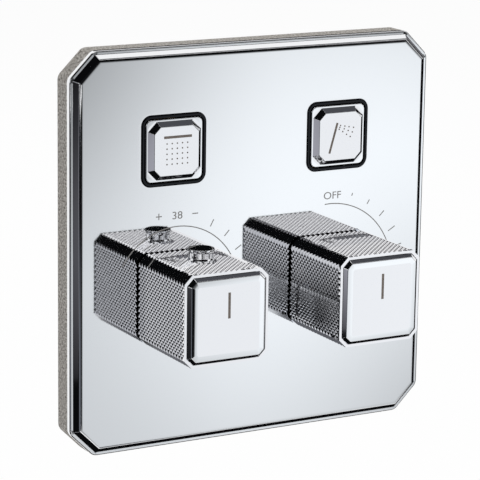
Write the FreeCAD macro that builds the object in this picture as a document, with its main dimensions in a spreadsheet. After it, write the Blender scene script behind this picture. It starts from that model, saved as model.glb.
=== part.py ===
import FreeCAD, Part
import math
import os
import re

import Sketcher

# Concealed thermostatic shower control: a trim plate with two knobs and two push buttons in front of the
# wall, and the brass valve that they work behind it. All sizes are in millimetres.
# The origin is the centre of the fixing plate's back, on the finished wall. +Y goes into the wall,
# +Z is up, and the knobs stand out towards -Y. "Front" distances count from the wall towards the user.

# Diamonds of the knobs' knurling, counted across and along each side
KNURL_COLUMNS, KNURL_ROWS = 5, 6

SIZES = {
    # clearances
    "fit_gap": 0.05,
    "free_gap": 0.3,
    # face plate and the foam ring behind it
    "plate_width": 180.0,
    "plate_cut": 11.5,
    "plate_edge": 2.5,
    "plate_ledge": 1.6,
    "plate_bevel": 1.9,
    "plate_rise": 2.7,
    "plate_skin": 3.0,
    "gasket_thick": 10.0,
    "gasket_band": 12.0,
    # places of the knobs and buttons, as shares of the plate's width from its centre
    "knob_side_ratio": 0.213,
    "knob_drop_ratio": 0.1133,
    "button_side_ratio": 0.23,
    "button_rise_ratio": 0.25,
    # knobs
    "knob_gap": 1.3,
    "knob_width": 41.0,
    "knob_cut": 4.0,
    "knob_length": 43.0,
    "knob_rim": 1.4,
    "knob_wall": 2.6,
    "knurl_depth": 0.6,
    "knurl_groove": 0.9,
    "knurl_land": 1.0,
    "cap_depth": 3.0,
    "cap_bevel": 1.3,
    "cap_rise": 1.8,
    "hub_plug": 8.0,
    "hub_floor": 4.5,
    "hub_boss_r": 9.5,
    "hub_gap": 1.5,
    "spindle_gap": 1.0,
    "tongue_width": 4.0,
    "tongue_thick": 2.8,
    "tongue_root": 3.0,
    "grub_r": 2.0,
    "grub_length": 5.4,
    "grub_setback": 11.5,
    "grub_access": 0.4,
    # safety button on the temperature knob
    "safety_front": 20.6,
    "safety_r": 5.8,
    "safety_proud": 5.4,
    "safety_chamfer": 0.7,
    "safety_flange_r": 7.0,
    "safety_flange": 2.0,
    "safety_stem_r": 2.6,
    "safety_stem": 2.7,
    "safety_spring_r": 4.0,
    "spring_wall": 0.8,
    "spring_seat_width": 8.2,
    "spring_seat_proud": 0.4,
    # push buttons
    "collar_width": 30.7,
    "collar_round": 4.2,
    "collar_wall": 0.95,
    "collar_proud": 0.5,
    "collar_gap": 0.5,
    "collar_flange": 2.0,
    "collar_lip": 2.6,
    "button_gap": 0.6,
    "button_ledge": 0.9,
    "button_bevel": 2.1,
    "button_step": 2.3,
    "button_face_cut": 3.0,
    "button_proud": 2.9,
    "button_skirt": 5.76,
    "button_pocket": 5.5,
    "button_skirt_wall": 2.8,
    "button_boss_r": 4.8,
    "button_spigot_r": 2.5,
    "button_spigot": 3.5,
    "button_spring_r": 6.2,
    # clamp sleeves that hold the plate on, and their seals
    "sleeve_r": 15.0,
    "sleeve_length": 10.0,
    "flange_r": 18.5,
    "flange_thick": 0.8,
    "sleeve_seal_r": 1.2,
    # cartridge fronts, the same on both sides
    "spindle_r": 5.0,
    "nose_r": 9.0,
    "nose_length": 12.8,
    "neck_r": 12.0,
    "neck_proud": 1.2,
    "collar_r": 9.0,
    "collar_thick": 2.9,
    "thrust_gap": 0.1,
    "stop_ring_r": 13.5,
    "stop_ring_thick": 3.0,
    "stop_lug": 4.0,
    "stop_lug_deg": 14.0,
    "stop_slack_deg": 1.5,
    "hot_deg": 45.0,
    "cold_deg": 100.0,
    "flow_deg": 90.0,
    "nut_width": 36.0,
    "nut_head": 6.0,
    "nut_thread": 5.0,
    "nut_thread_r": 18.0,
    # cartridge sockets in the valve body
    "socket_face": 8.0,
    "socket_r": 21.0,
    "socket_bore": 16.0,
    "socket_wall": 4.0,
    # thermostatic cartridge
    "mixed_step": 4.5,
    "hot_step": 13.5,
    "cold_step": 15.0,
    "end_land": 5.5,
    "relief_half": 3.2,
    "relief_depth": 2.5,
    "window_r": 2.6,
    "ring_r": 1.0,
    "ring_squeeze": 0.05,
    "inner_bore": 10.0,
    "screw_r": 4.0,
    "screw_length": 7.0,
    "pusher_gap": 1.5,
    "pusher_length": 7.5,
    "pusher_floor": 0.8,
    "wax_pin_r": 1.5,
    "wax_pin": 8.0,
    "wax_r": 4.5,
    "wax_length": 22.0,
    "wax_flange_r": 6.0,
    "wax_flange": 2.0,
    "spool_cover": 2.0,
    "spool_rim": 1.8,
    "spool_web": 2.5,
    "spool_hole_r": 0.9,
    "return_spring_r": 7.3,
    # ceramic flow cartridge
    "disc_bore": 12.0,
    "driver_step": 3.5,
    "driver_thick": 3.0,
    "disc_thick": 3.0,
    "disc_film": 0.05,
    "seat_thick": 3.45,
    "seal_thick": 3.0,
    "seal_band": 4.0,
    "port_inner": 3.0,
    "port_outer": 9.0,
    "port_deg": 40.0,
    "flow_sump": 3.5,
    "sump_r": 9.0,
    # push valves
    "push_socket_r": 14.0,
    "push_bore": 10.0,
    "push_depth": 30.0,
    "push_head": 6.0,
    "push_hex": 22.0,
    "push_nose_r": 7.0,
    "push_nose": 8.0,
    "push_seat_depth": 19.0,
    "push_seat_thick": 2.0,
    "push_seat_r": 5.0,
    "push_window_step": 13.2,
    "push_window_r": 3.0,
    "push_inner_r": 7.0,
    "push_relief": 1.5,
    "push_ring_step": 2.8,
    "plunger_r": 4.0,
    "plunger_tail_r": 2.5,
    "plunger_neck": 4.0,
    "plunger_head_r": 4.0,
    "plunger_head": 1.9,
    "valve_seal_r": 7.5,
    "valve_seal": 2.5,
    # manifold
    "gallery_r": 9.5,
    "gallery_bore": 4.2,
    "riser_r": 9.0,
    "riser_bore": 4.0,
    "outlet_line": 35.0,
    "port_boss_r": 13.0,
    "inlet_boss": 23.5,
    "outlet_boss": 17.5,
    "boss_r": 5.0,
    # pipe unions, G1/2 sockets
    "union_hex": 27.0,
    "union_length": 16.0,
    "union_bore": 9.3,
    "union_socket": 11.0,
    "union_through": 7.0,
    "union_spigot": 6.5,
    "union_spigot_r": 9.5,
    "check_length": 9.0,
    "check_wall": 1.6,
    "check_nose": 2.5,
    "strainer_thick": 1.0,
    "strainer_dome": 2.0,
    "strainer_slope": 3.0,
    # fixing plate on the wall and its screws
    "fixing_margin": 5.0,
    "fixing_cut": 5.0,
    "fixing_thick": 2.0,
    "fixing_edge": 7.0,
    "fixing_hole": 2.75,
    "knob_window": 22.0,
    "button_window": 14.5,
    "screw_hole": 2.2,
    "screw_shank": 2.0,
    "screw_head_r": 3.8,
    "screw_head": 2.4,
    "screw_depth": 8.0,
}

# Places that follow from the sizes. Those ending in "front" count towards the user, the rest into the wall.
STATIONS = {
    "knob_x": "plate_width * knob_side_ratio",
    "knob_drop": "plate_width * knob_drop_ratio",
    "button_x": "plate_width * button_side_ratio",
    "button_rise": "plate_width * button_rise_ratio",
    "boss_z": "(button_rise - knob_drop) / 2",
    "fixing_half": "plate_half - gasket_band - fixing_margin",
    "fixing_place": "fixing_half - fixing_edge",
    "ledge_front": "gasket_thick + plate_edge",
    "face_front": "ledge_front + plate_rise",
    "skin_front": "face_front - plate_skin",
    "knob_back_front": "face_front + knob_gap",
    "knob_front": "knob_back_front + knob_length",
    "cap_front": "knob_front - cap_depth",
    "flange_front": "face_front + flange_thick",
    "neck_front": "flange_front + neck_proud",
    "nose_front": "neck_front + nose_length",
    "boss_front": "nose_front + hub_gap",
    "plug_front": "cap_front - hub_plug",
    "bore_front": "cap_front - hub_floor",
    "spindle_front": "bore_front - spindle_gap",
    "ring_front": "neck_front + stop_ring_thick",
    "safety_place": "face_front + safety_front",
    "grub_place": "cap_front - grub_setback",
    "collar_front": "face_front + collar_proud",
    "button_front": "face_front + button_proud",
    "step_front": "button_front - button_step",
    "skirt_front": "step_front - button_skirt",
    "pocket_front": "skirt_front + button_pocket",
    "nut_seat": "socket_face + nut_thread",
    "mixed_line": "nut_seat + mixed_step",
    "hot_line": "mixed_line + hot_step",
    "cold_line": "hot_line + cold_step",
    "thermo_end": "cold_line + end_land",
    "thrust_end": "thrust_gap + collar_thick",
    "screw_end": "thrust_end + screw_length",
    "pusher_start": "thrust_end + pusher_gap",
    "pusher_end": "pusher_start + pusher_length",
    "wax_start": "pusher_end + wax_pin",
    "spool_start": "hot_line + spool_cover",
    "spool_end": "cold_line - spool_cover",
    "web_end": "(spool_start + spool_end + spool_web) / 2",
    "web_start": "web_end - spool_web",
    "driver_start": "mixed_line + driver_step",
    "driver_end": "driver_start + driver_thick",
    "disc_end": "driver_end + disc_thick",
    "seat_start": "disc_end + disc_film",
    "seat_end": "seat_start + seat_thick",
    "flow_end": "seat_end + seal_thick",
    "sump_end": "flow_end + flow_sump",
    "push_line": "socket_face + push_window_step",
    "push_seat": "socket_face + push_seat_depth",
    "push_seat_end": "push_seat + push_seat_thick",
    "push_head_front": "push_head - socket_face",
    "push_nose_front": "push_head_front + push_nose",
    "valve_start": "push_seat_end + thrust_gap",
    "valve_end": "valve_start + valve_seal",
    "inlet_face": "knob_drop + inlet_boss",
    "outlet_face": "button_rise + outlet_boss",
    "knob_half": "knob_width / 2",
    "knurl_across": f"(knob_width - 2 * knob_cut) / {KNURL_COLUMNS}",
    "knurl_along": f"knob_length / {KNURL_ROWS}",
    "knob_inner": "knob_half - knob_wall",
    "hub_half": "knob_inner - fit_gap",
    "spring_seat": "hub_boss_r + spring_seat_proud",
    "safety_top": "knob_half + safety_proud",
    "safety_shoulder": "knob_inner - thrust_gap",
    "safety_flange_low": "safety_shoulder - safety_flange",
    "lug_inner": "stop_ring_r - tongue_thick",
    "plate_half": "plate_width / 2",
    "collar_half": "collar_width / 2",
    "button_half": "collar_half - collar_wall - button_gap",
    "button_round": "collar_round - collar_wall - button_gap",
    "button_top": "button_half - button_ledge",
    "cartridge_r": "socket_bore - fit_gap",
    "push_r": "push_bore - fit_gap",
}

# An outline moved inwards by a distance keeps its 45 degree corners if the cut shrinks by this share of it.
CORNER_SHARE = "(2 - sqrt(2))"

DOWN, UP = -1, 1
LEFT, RIGHT = "-", ""

doc = FreeCAD.newDocument("ShowerControl")
sheet = doc.addObject("Spreadsheet::Sheet", "Sizes")
for row, (alias, value) in enumerate(SIZES.items(), start=1):
    sheet.set(f"A{row}", alias)
    sheet.set(f"B{row}", str(value))
    sheet.setAlias(f"B{row}", alias)
doc.recompute()

sub_parts = []


def formula(text):
    """Turn a formula of size names into an expression on the sheet."""
    def reference(match):
        word = match.group(0)
        if word in STATIONS:
            return f"({formula(STATIONS[word])})"
        return f"Sizes.{word}" if word in SIZES else word
    return re.sub(r"[a-z_][a-z_0-9]*", reference, text)


def bind(target, **formulas):
    """Bind properties to formulas; a double underscore stands for a dot in the property's path."""
    for path, text in formulas.items():
        target.setExpression(path.replace("__", "."), formula(text))
    return target


def place(target, x="0", y="0", z="0"):
    return bind(target, Placement__Base__x=x, Placement__Base__y=y, Placement__Base__z=z)


def sub_part(target):
    """Keep an object as one of the pieces that are written out."""
    sub_parts.append(target)
    return target


def new_body(label):
    return doc.addObject("PartDesign::Body", label)


# Sketches

def new_sketch(body, role, offset="0"):
    """A sketch on one of the body's own planes, moved along the plane's normal."""
    sketch = body.newObject("Sketcher::SketchObject", f"{body.Name}_sketch")
    plane = next(feature for feature in body.Origin.OriginFeatures if feature.Role == role)
    sketch.AttachmentSupport = [(plane, "")]
    sketch.MapMode = "FlatFace"
    return bind(sketch, AttachmentOffset__Base__z=offset)


def fix(sketch, kind, geometry, vertex, text):
    """Tie one coordinate of a point of the sketch to a formula."""
    point = sketch.getPoint(geometry, vertex)
    start = point.x if kind == "DistanceX" else point.y
    constraint = sketch.addConstraint(Sketcher.Constraint(kind, -1, 1, geometry, vertex, start))
    sketch.setExpression(f"Constraints[{constraint}]", formula(text))


def fix_point(sketch, geometry, vertex, across, along):
    fix(sketch, "DistanceX", geometry, vertex, across)
    fix(sketch, "DistanceY", geometry, vertex, along)


def add_polygon(sketch, points):
    """A closed outline of straight lines through points given as formulas."""
    count = len(points)
    first = sketch.GeometryCount
    turns = [2 * math.pi * index / count for index in range(count)]
    corners = [FreeCAD.Vector(math.cos(turn), math.sin(turn), 0) for turn in turns]
    for index in range(count):
        sketch.addGeometry(Part.LineSegment(corners[index], corners[(index + 1) % count]), False)
    for index in range(count):
        following = first + (index + 1) % count
        sketch.addConstraint(Sketcher.Constraint("Coincident", first + index, 2, following, 1))
    for index, (across, along) in enumerate(points):
        fix_point(sketch, first + index, 1, across, along)
    return sketch


def add_circle(sketch, across, along, radius):
    circle = sketch.addGeometry(Part.Circle(FreeCAD.Vector(0, 0, 0), FreeCAD.Vector(0, 0, 1), 1.0), False)
    fix_point(sketch, circle, 3, across, along)
    constraint = sketch.addConstraint(Sketcher.Constraint("Radius", circle, 1.0))
    sketch.setExpression(f"Constraints[{constraint}]", formula(radius))
    return sketch


def add_rounded_square(sketch, half, rounding, across="0", along="0"):
    """A square with round corners: four sides and four quarter arcs."""
    first = sketch.GeometryCount
    start = 0.3
    for quarter in range(4):
        turn = quarter * math.pi / 2
        spin = FreeCAD.Rotation(FreeCAD.Vector(0, 0, 1), math.degrees(turn))
        side = [spin.multVec(FreeCAD.Vector(1, share, 0)) for share in (start - 1, 1 - start)]
        centre = spin.multVec(FreeCAD.Vector(1 - start, 1 - start, 0))
        circle = Part.Circle(centre, FreeCAD.Vector(0, 0, 1), start)
        sketch.addGeometry(Part.LineSegment(*side), False)
        sketch.addGeometry(Part.ArcOfCircle(circle, turn, turn + math.pi / 2), False)
    flat = f"({half} - ({rounding}))"
    ends = [(f"({half})", f"-{flat}"), (f"({half})", flat)]
    centre_side = ("", "-", "-", "")
    for quarter in range(4):
        line = first + 2 * quarter
        arc = line + 1
        following = first + 2 * ((quarter + 1) % 4)
        for vertex, (one, two) in enumerate(ends, start=1):
            fix_point(sketch, line, vertex, f"{across} + {one}", f"{along} + {two}")
        sketch.addConstraint(Sketcher.Constraint("Coincident", line, 2, arc, 1))
        sketch.addConstraint(Sketcher.Constraint("Coincident", arc, 2, following, 1))
        fix(sketch, "DistanceX", arc, 3, f"{across} + ({centre_side[quarter]}{flat})")
        ends = [(f"-({two})", one) for one, two in ends]
    return sketch


def octagon(half, cut):
    """A square outline with its four corners cut off at 45 degrees."""
    flat = f"({half} - ({cut}))"
    half = f"({half})"
    return [(flat, f"-{half}"), (half, f"-{flat}"), (half, flat), (flat, half),
            (f"-{flat}", half), (f"-{half}", flat), (f"-{half}", f"-{flat}"), (f"-{flat}", f"-{half}")]


def inset_cut(cut, distance):
    """The corner cut of an octagon that is moved inwards by a distance."""
    return f"({cut}) - {CORNER_SHARE} * ({distance})"


def hexagon(width):
    """A hexagon with its flats a given width apart."""
    far, near, half = f"{width} / sqrt(3)", f"{width} / (2 * sqrt(3))", f"{width} / 2"
    return [(far, "0"), (near, half), (f"-{near}", half), (f"-{far}", "0"), (f"-{near}", f"-{half}"),
            (near, f"-{half}")]


def rectangle(left, low, right, high):
    return [(left, low), (right, low), (right, high), (left, high)]


def notch(middle, half, outer, inner):
    """Four points of a turned profile that drop into a groove and come out again."""
    near, far = f"{middle} - ({half})", f"{middle} + ({half})"
    return [(outer, near), (inner, near), (inner, far), (outer, far)]


# Features

def pad(body, sketch, length, backwards=False):
    feature = body.newObject("PartDesign::Pad", f"{body.Name}_pad")
    feature.Profile = (sketch, [""])
    feature.Reversed = backwards
    return bind(feature, Length=length)


def pocket(body, sketch, length, backwards=False):
    """Cut against the sketch's normal, or along it if backwards."""
    feature = body.newObject("PartDesign::Pocket", f"{body.Name}_pocket")
    feature.Profile = (sketch, [""])
    feature.Reversed = backwards
    return bind(feature, Length=length)


def drill(body, sketch):
    """Cut through everything on both sides of the sketch."""
    feature = body.newObject("PartDesign::Pocket", f"{body.Name}_hole")
    feature.Profile = (sketch, [""])
    feature.Type = "ThroughAll"
    feature.Midplane = True
    return feature


def turn(body, role, points, kind="Revolution"):
    """Revolve a profile about the sketch's upright axis: +Y on the XY plane, +Z on the XZ plane."""
    sketch = add_polygon(new_sketch(body, role), points)
    feature = body.newObject(f"PartDesign::{kind}", f"{body.Name}_{kind.lower()}")
    feature.Profile = (sketch, [""])
    feature.ReferenceAxis = (sketch, ["V_Axis"])
    feature.Angle = 360.0
    return feature


def bevel(body, half, cut, front, run, rise):
    """A sloping step from one octagon up to a smaller one."""
    low = add_polygon(new_sketch(body, "XZ_Plane", front), octagon(half, cut))
    top = octagon(f"{half} - ({run})", inset_cut(cut, run))
    high = add_polygon(new_sketch(body, "XZ_Plane", f"{front} + {rise}"), top)
    feature = body.newObject("PartDesign::AdditiveLoft", f"{body.Name}_bevel")
    feature.Profile = (low, [""])
    feature.Sections = [(high, [""])]
    feature.Ruled = True
    return feature


def knurl(body):
    """Cut crossed slanting grooves into all four sides of a knob."""
    sketch = new_sketch(body, "XY_Plane", "knob_half")
    reach = "(knob_half - knob_cut / 2)"
    slope = "(knurl_along / knurl_across)"
    for line in range(1 - KNURL_COLUMNS, KNURL_ROWS):
        left = f"-knob_back_front - {line} * knurl_along + {slope} * knob_cut / 2"
        right = f"{left} - 2 * {slope} * {reach}"
        add_polygon(sketch, [(f"-{reach}", f"{left} + knurl_groove / 2"), (f"-{reach}", f"{left} - knurl_groove / 2"),
                             (reach, f"{right} - knurl_groove / 2"), (reach, f"{right} + knurl_groove / 2")])
    groove = pocket(body, sketch, "knurl_depth")
    features = {feature.Role: feature for feature in body.Origin.OriginFeatures}
    crossed = doc.addObject("PartDesign::Mirrored", f"{body.Name}_crossed")
    crossed.MirrorPlane = (features["YZ_Plane"], [""])
    sides = doc.addObject("PartDesign::PolarPattern", f"{body.Name}_sides")
    sides.Axis = (features["Y_Axis"], [""])
    sides.Angle = 360.0
    sides.Occurrences = 4
    whole = body.newObject("PartDesign::MultiTransform", f"{body.Name}_knurl")
    whole.Originals = [groove]
    whole.Transformations = [crossed, sides]
    body.Tip = whole


def slab(body, points, start_front, end_front):
    """A straight block between two front distances."""
    sketch = add_polygon(new_sketch(body, "XZ_Plane", start_front), points)
    return pad(body, sketch, f"{end_front} - ({start_front})")


# Turned rods and rings made as solids of their own

def turned(label, points, x, z, role="XY_Plane"):
    body = sub_part(new_body(label))
    turn(body, role, points)
    return place(body, x=x, z=z)


def ring_points(inner, outer, start, end):
    return rectangle(inner, start, outer, end)


def seal_ring(name, middle_r, section_r, x, y, z):
    """A round-section rubber ring about a line along Y."""
    ring = doc.addObject("Part::Torus", name)
    ring.Placement.Rotation = FreeCAD.Rotation(FreeCAD.Vector(1, 0, 0), -90)
    bind(ring, Radius1=middle_r, Radius2=section_r)
    return place(ring, x, y, z)


def group(label, members):
    """Several loose solids of one kind in one piece."""
    bundle = sub_part(doc.addObject("Part::Compound", label))
    bundle.Links = members
    return bundle


AXES = {
    "x": FreeCAD.Rotation(FreeCAD.Vector(0, 1, 0), 90),
    "y": FreeCAD.Rotation(FreeCAD.Vector(1, 0, 0), -90),
    "z": FreeCAD.Rotation(),
}


def rod(name, axis, radius, length, x="0", y="0", z="0"):
    """A cylinder along one axis, from a starting point."""
    cylinder = doc.addObject("Part::Cylinder", name)
    cylinder.Placement.Rotation = AXES[axis]
    bind(cylinder, Radius=radius, Height=length)
    return place(cylinder, x, y, z)


# Trim in front of the wall

def make_face_plate():
    plate = sub_part(new_body("face_plate"))
    slab(plate, octagon("plate_half", "plate_cut"), "gasket_thick", "ledge_front")
    bevel(plate, "plate_half - plate_ledge", inset_cut("plate_cut", "plate_ledge"),
          "ledge_front", "plate_bevel", "plate_rise")
    recess = octagon("plate_half - gasket_band", inset_cut("plate_cut", "gasket_band"))
    hollow = add_polygon(new_sketch(plate, "XZ_Plane", "gasket_thick"), recess)
    pocket(plate, hollow, "skin_front - gasket_thick", backwards=True)
    openings = new_sketch(plate, "XZ_Plane", "gasket_thick")
    for side in (LEFT, RIGHT):
        add_circle(openings, f"{side}knob_x", "-knob_drop", "sleeve_r + free_gap")
        add_rounded_square(openings, "collar_half + collar_gap", "collar_round + collar_gap",
                           f"{side}button_x", "button_rise")
    drill(plate, openings)


def make_foam_gasket():
    gasket = sub_part(new_body("foam_gasket"))
    sketch = new_sketch(gasket, "XZ_Plane")
    add_polygon(sketch, octagon("plate_half", "plate_cut"))
    add_polygon(sketch, octagon("plate_half - gasket_band", inset_cut("plate_cut", "gasket_band")))
    pad(gasket, sketch, "gasket_thick")


def make_push_button(name, x):
    collar = sub_part(new_body(f"{name}_button_collar"))
    outer = add_rounded_square(new_sketch(collar, "XZ_Plane", "skin_front"), "collar_half", "collar_round")
    pad(collar, outer, "collar_front - skin_front")
    lip = new_sketch(collar, "XZ_Plane", "skin_front - collar_flange")
    add_rounded_square(lip, "collar_half + collar_lip", "collar_round + collar_lip")
    pad(collar, lip, "collar_flange")
    inner = new_sketch(collar, "XZ_Plane", "skin_front")
    add_rounded_square(inner, "collar_half - collar_wall", "collar_round - collar_wall")
    drill(collar, inner)
    place(collar, x=x, z="button_rise")

    cap = sub_part(new_body(f"{name}_button_cap"))
    base = add_rounded_square(new_sketch(cap, "XZ_Plane", "skirt_front"), "button_half", "button_round")
    pad(cap, base, "button_skirt")
    bevel(cap, "button_top", f"button_face_cut + {CORNER_SHARE} * button_bevel",
          "step_front", "button_bevel", "button_step")
    hollow = new_sketch(cap, "XZ_Plane", "skirt_front")
    inside = "button_half - button_skirt_wall"
    add_polygon(hollow, rectangle(f"-({inside})", f"-({inside})", inside, inside))
    add_circle(hollow, "0", "0", "button_boss_r")
    pocket(cap, hollow, "button_pocket", backwards=True)
    socket = add_circle(new_sketch(cap, "XZ_Plane", "skirt_front"), "0", "0", "button_spigot_r")
    pocket(cap, socket, "button_spigot + fit_gap", backwards=True)
    place(cap, x=x, z="button_rise")

    # The plunger plugs into the cap in front and carries the rubber valve disc behind the seat.
    spigot = "button_spigot_r - fit_gap"
    neck = "push_seat - plunger_neck"
    head_end = "valve_end + plunger_head"
    turned(f"{name}_button_plunger", [
        ("0", "-skirt_front - button_spigot"), (spigot, "-skirt_front - button_spigot"),
        (spigot, "-skirt_front"), ("plunger_r", "-skirt_front"), ("plunger_r", neck),
        ("plunger_tail_r", neck), ("plunger_tail_r", "valve_end"), ("plunger_head_r", "valve_end"),
        ("plunger_head_r", head_end), ("0", head_end)], x, "button_rise")
    turned(f"{name}_button_spring", ring_points(
        "button_spring_r - spring_wall", "button_spring_r", "-pocket_front", "-push_nose_front"),
        x, "button_rise")
    turned(f"{name}_valve_seal", ring_points(
        "plunger_tail_r + fit_gap", "valve_seal_r", "valve_start", "valve_end"), x, "button_rise")


def make_push_housing(name, x):
    """Screw-in guide of a push valve: hexagon head, windows at the outlet and the valve seat at its end."""
    housing = sub_part(new_body(f"{name}_push_housing"))
    slab(housing, hexagon("push_hex"), "-socket_face", "push_head_front")
    ring_half = "ring_r + fit_gap"
    turn(housing, "XY_Plane", [
        ("0", "-push_nose_front"), ("push_nose_r", "-push_nose_front"), ("push_nose_r", "socket_face"),
        ("push_r", "socket_face"),
        *notch("socket_face + push_ring_step", ring_half, "push_r", "push_r - 2 * ring_r"),
        *notch("push_line", "push_window_r + fit_gap", "push_r", "push_r - push_relief"),
        ("push_r", "push_seat_end"), ("0", "push_seat_end")])
    bore = "plunger_r + fit_gap"
    inner_start = "socket_face"
    turn(housing, "XY_Plane", [
        ("0", "-push_nose_front"), (bore, "-push_nose_front"), (bore, inner_start),
        ("push_inner_r", inner_start), ("push_inner_r", "push_seat"), ("push_seat_r", "push_seat"),
        ("push_seat_r", "push_seat_end"), ("0", "push_seat_end")], kind="Groove")
    for role in ("XY_Plane", "YZ_Plane"):
        across, along = ("0", "push_line") if role == "XY_Plane" else ("push_line", "0")
        drill(housing, add_circle(new_sketch(housing, role), across, along, "push_window_r"))
    place(housing, x=x, z="button_rise")


def make_knob(name, x, safety_button):
    sleeve = sub_part(new_body(f"{name}_knob_sleeve"))
    land_back = "(knob_front - knurl_land)"
    seat = octagon("knob_half - knob_rim", inset_cut("knob_cut", "knob_rim"))
    slab(sleeve, octagon("knob_half", "knob_cut"), "knob_back_front", land_back)
    inside = add_polygon(new_sketch(sleeve, "XZ_Plane", land_back),
                         octagon("knob_inner", inset_cut("knob_cut", "knob_wall")))
    pocket(sleeve, inside, "knob_length")
    pocket(sleeve, add_polygon(new_sketch(sleeve, "XZ_Plane", land_back), seat), "cap_depth - knurl_land")
    access = add_circle(new_sketch(sleeve, "XY_Plane"), "0", "-grub_place", "grub_r + grub_access")
    pocket(sleeve, access, "knob_width")
    if safety_button:
        guide = add_circle(new_sketch(sleeve, "XY_Plane"), "0", "-safety_place", "safety_r + fit_gap")
        pocket(sleeve, guide, "knob_width", backwards=True)
    knurl(sleeve)
    land = add_polygon(new_sketch(sleeve, "XZ_Plane", land_back), octagon("knob_half", "knob_cut"))
    pad(sleeve, add_polygon(land, seat), "knurl_land")
    place(sleeve, x=x, z="-knob_drop")

    cap = sub_part(new_body(f"{name}_knob_cap"))
    rim = "knob_rim + fit_gap"
    slab(cap, octagon(f"knob_half - ({rim})", inset_cut("knob_cut", rim)), "cap_front", "knob_front")
    bevel(cap, f"knob_half - ({rim})", inset_cut("knob_cut", rim), "knob_front", "cap_bevel", "cap_rise")
    place(cap, x=x, z="-knob_drop")

    # The hub fills the sleeve's front, grips the spindle and carries the tongue that meets the stops.
    hub = sub_part(new_body(f"{name}_knob_hub"))
    slab(hub, octagon("hub_half", inset_cut("knob_cut", "knob_wall + fit_gap")), "plug_front", "cap_front")
    boss = add_circle(new_sketch(hub, "XZ_Plane", "boss_front"), "0", "0", "hub_boss_r")
    pad(hub, boss, "plug_front - boss_front")
    tongue_low, tongue_high = "-(stop_ring_r - free_gap)", "-(lug_inner + free_gap)"
    width = "tongue_width / 2"
    slab(hub, rectangle(f"-{width}", tongue_low, width, "-nose_r"), "boss_front", "boss_front + tongue_root")
    slab(hub, rectangle(f"-{width}", tongue_low, width, tongue_high), "ring_front + free_gap", "boss_front")
    if safety_button:
        half = "spring_seat_width / 2"
        slab(hub, rectangle(f"-{half}", "0", half, "spring_seat"),
             f"safety_place - {half}", f"safety_place + {half}")
    bore = add_circle(new_sketch(hub, "XZ_Plane", "boss_front"), "0", "0", "spindle_r + fit_gap")
    pocket(hub, bore, "bore_front - boss_front", backwards=True)
    thread = add_circle(new_sketch(hub, "XY_Plane"), "0", "-grub_place", "grub_r + fit_gap")
    pocket(hub, thread, "knob_inner")
    place(hub, x=x, z="-knob_drop")

    grub = turned(f"{name}_grub_screw", ring_points("0", "grub_r", "-grub_length", "0"), x, "0", "XZ_Plane")
    place(grub, x=x, y="-grub_place", z="-knob_drop - spindle_r - fit_gap")


def make_safety_button():
    turned("safety_button", [
        ("0", "safety_flange_low - safety_stem"), ("safety_stem_r", "safety_flange_low - safety_stem"),
        ("safety_stem_r", "safety_flange_low"), ("safety_flange_r", "safety_flange_low"),
        ("safety_flange_r", "safety_shoulder"), ("safety_r", "safety_shoulder"),
        ("safety_r", "safety_top - safety_chamfer"), ("safety_r - safety_chamfer", "safety_top"),
        ("0", "safety_top")], "-knob_x", "-knob_drop", "XZ_Plane")
    turned("safety_button_spring", ring_points(
        "safety_spring_r - spring_wall", "safety_spring_r", "spring_seat", "safety_flange_low"),
        "-knob_x", "-knob_drop", "XZ_Plane")
    for piece in sub_parts[-2:]:
        place(piece, x="-knob_x", y="-safety_place", z="-knob_drop")


def make_stop_ring(name, x, stops):
    """A ring keyed to the cartridge's nose, with two lugs that the hub's tongue runs between."""
    ring = sub_part(new_body(f"{name}_stop_ring"))
    turn(ring, "XY_Plane", ring_points("nose_r + fit_gap", "stop_ring_r", "-ring_front", "-neck_front"))
    for near, sign in stops:
        # Angles run from straight down, where the tongue rests, and grow anticlockwise for the user.
        start = f"{near} + stop_slack_deg + tongue_width / (2 * lug_inner) * 180 / pi"
        ends = [(radius, f"{sign}({start} + {extra})")
                for radius, extra in (("lug_inner", "0"), ("stop_ring_r", "0"),
                                      ("stop_ring_r", "stop_lug_deg"), ("lug_inner", "stop_lug_deg"))]
        points = [(f"{radius} * sin({angle})", f"-({radius}) * cos({angle})") for radius, angle in ends]
        slab(ring, points, "ring_front", "ring_front + stop_lug")
    place(ring, x=x, z="-knob_drop")


def make_clamp_sleeve(name, x):
    """Threaded on the cartridge's neck; its thin flange presses the plate to the wall."""
    turned(f"{name}_clamp_sleeve", [
        ("neck_r + fit_gap", "-flange_front"), ("flange_r", "-flange_front"), ("flange_r", "-face_front"),
        ("sleeve_r", "-face_front"), ("sleeve_r", "-flange_front + sleeve_length"),
        ("neck_r + fit_gap", "-flange_front + sleeve_length")], x, "-knob_drop")


# Cartridges

def cartridge_front():
    """The part of a cartridge housing's profile that both cartridges share."""
    return [("spindle_r + fit_gap", "-nose_front"), ("nose_r", "-nose_front"), ("nose_r", "-neck_front"),
            ("neck_r", "-neck_front"), ("neck_r", "nut_seat"), ("cartridge_r", "nut_seat")]


def ring_groove(middle):
    return notch(middle, "ring_r + fit_gap", "cartridge_r", "cartridge_r - 2 * ring_r")


def water_zone(middle):
    return notch(middle, "relief_half", "cartridge_r", "cartridge_r - relief_depth")


def drill_windows(body, lines):
    """Cross-drill a housing at each water line."""
    for role in ("XY_Plane", "YZ_Plane"):
        sketch = new_sketch(body, role)
        for line in lines:
            across, along = ("0", line) if role == "XY_Plane" else (line, "0")
            add_circle(sketch, across, along, "window_r")
        drill(body, sketch)


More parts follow.
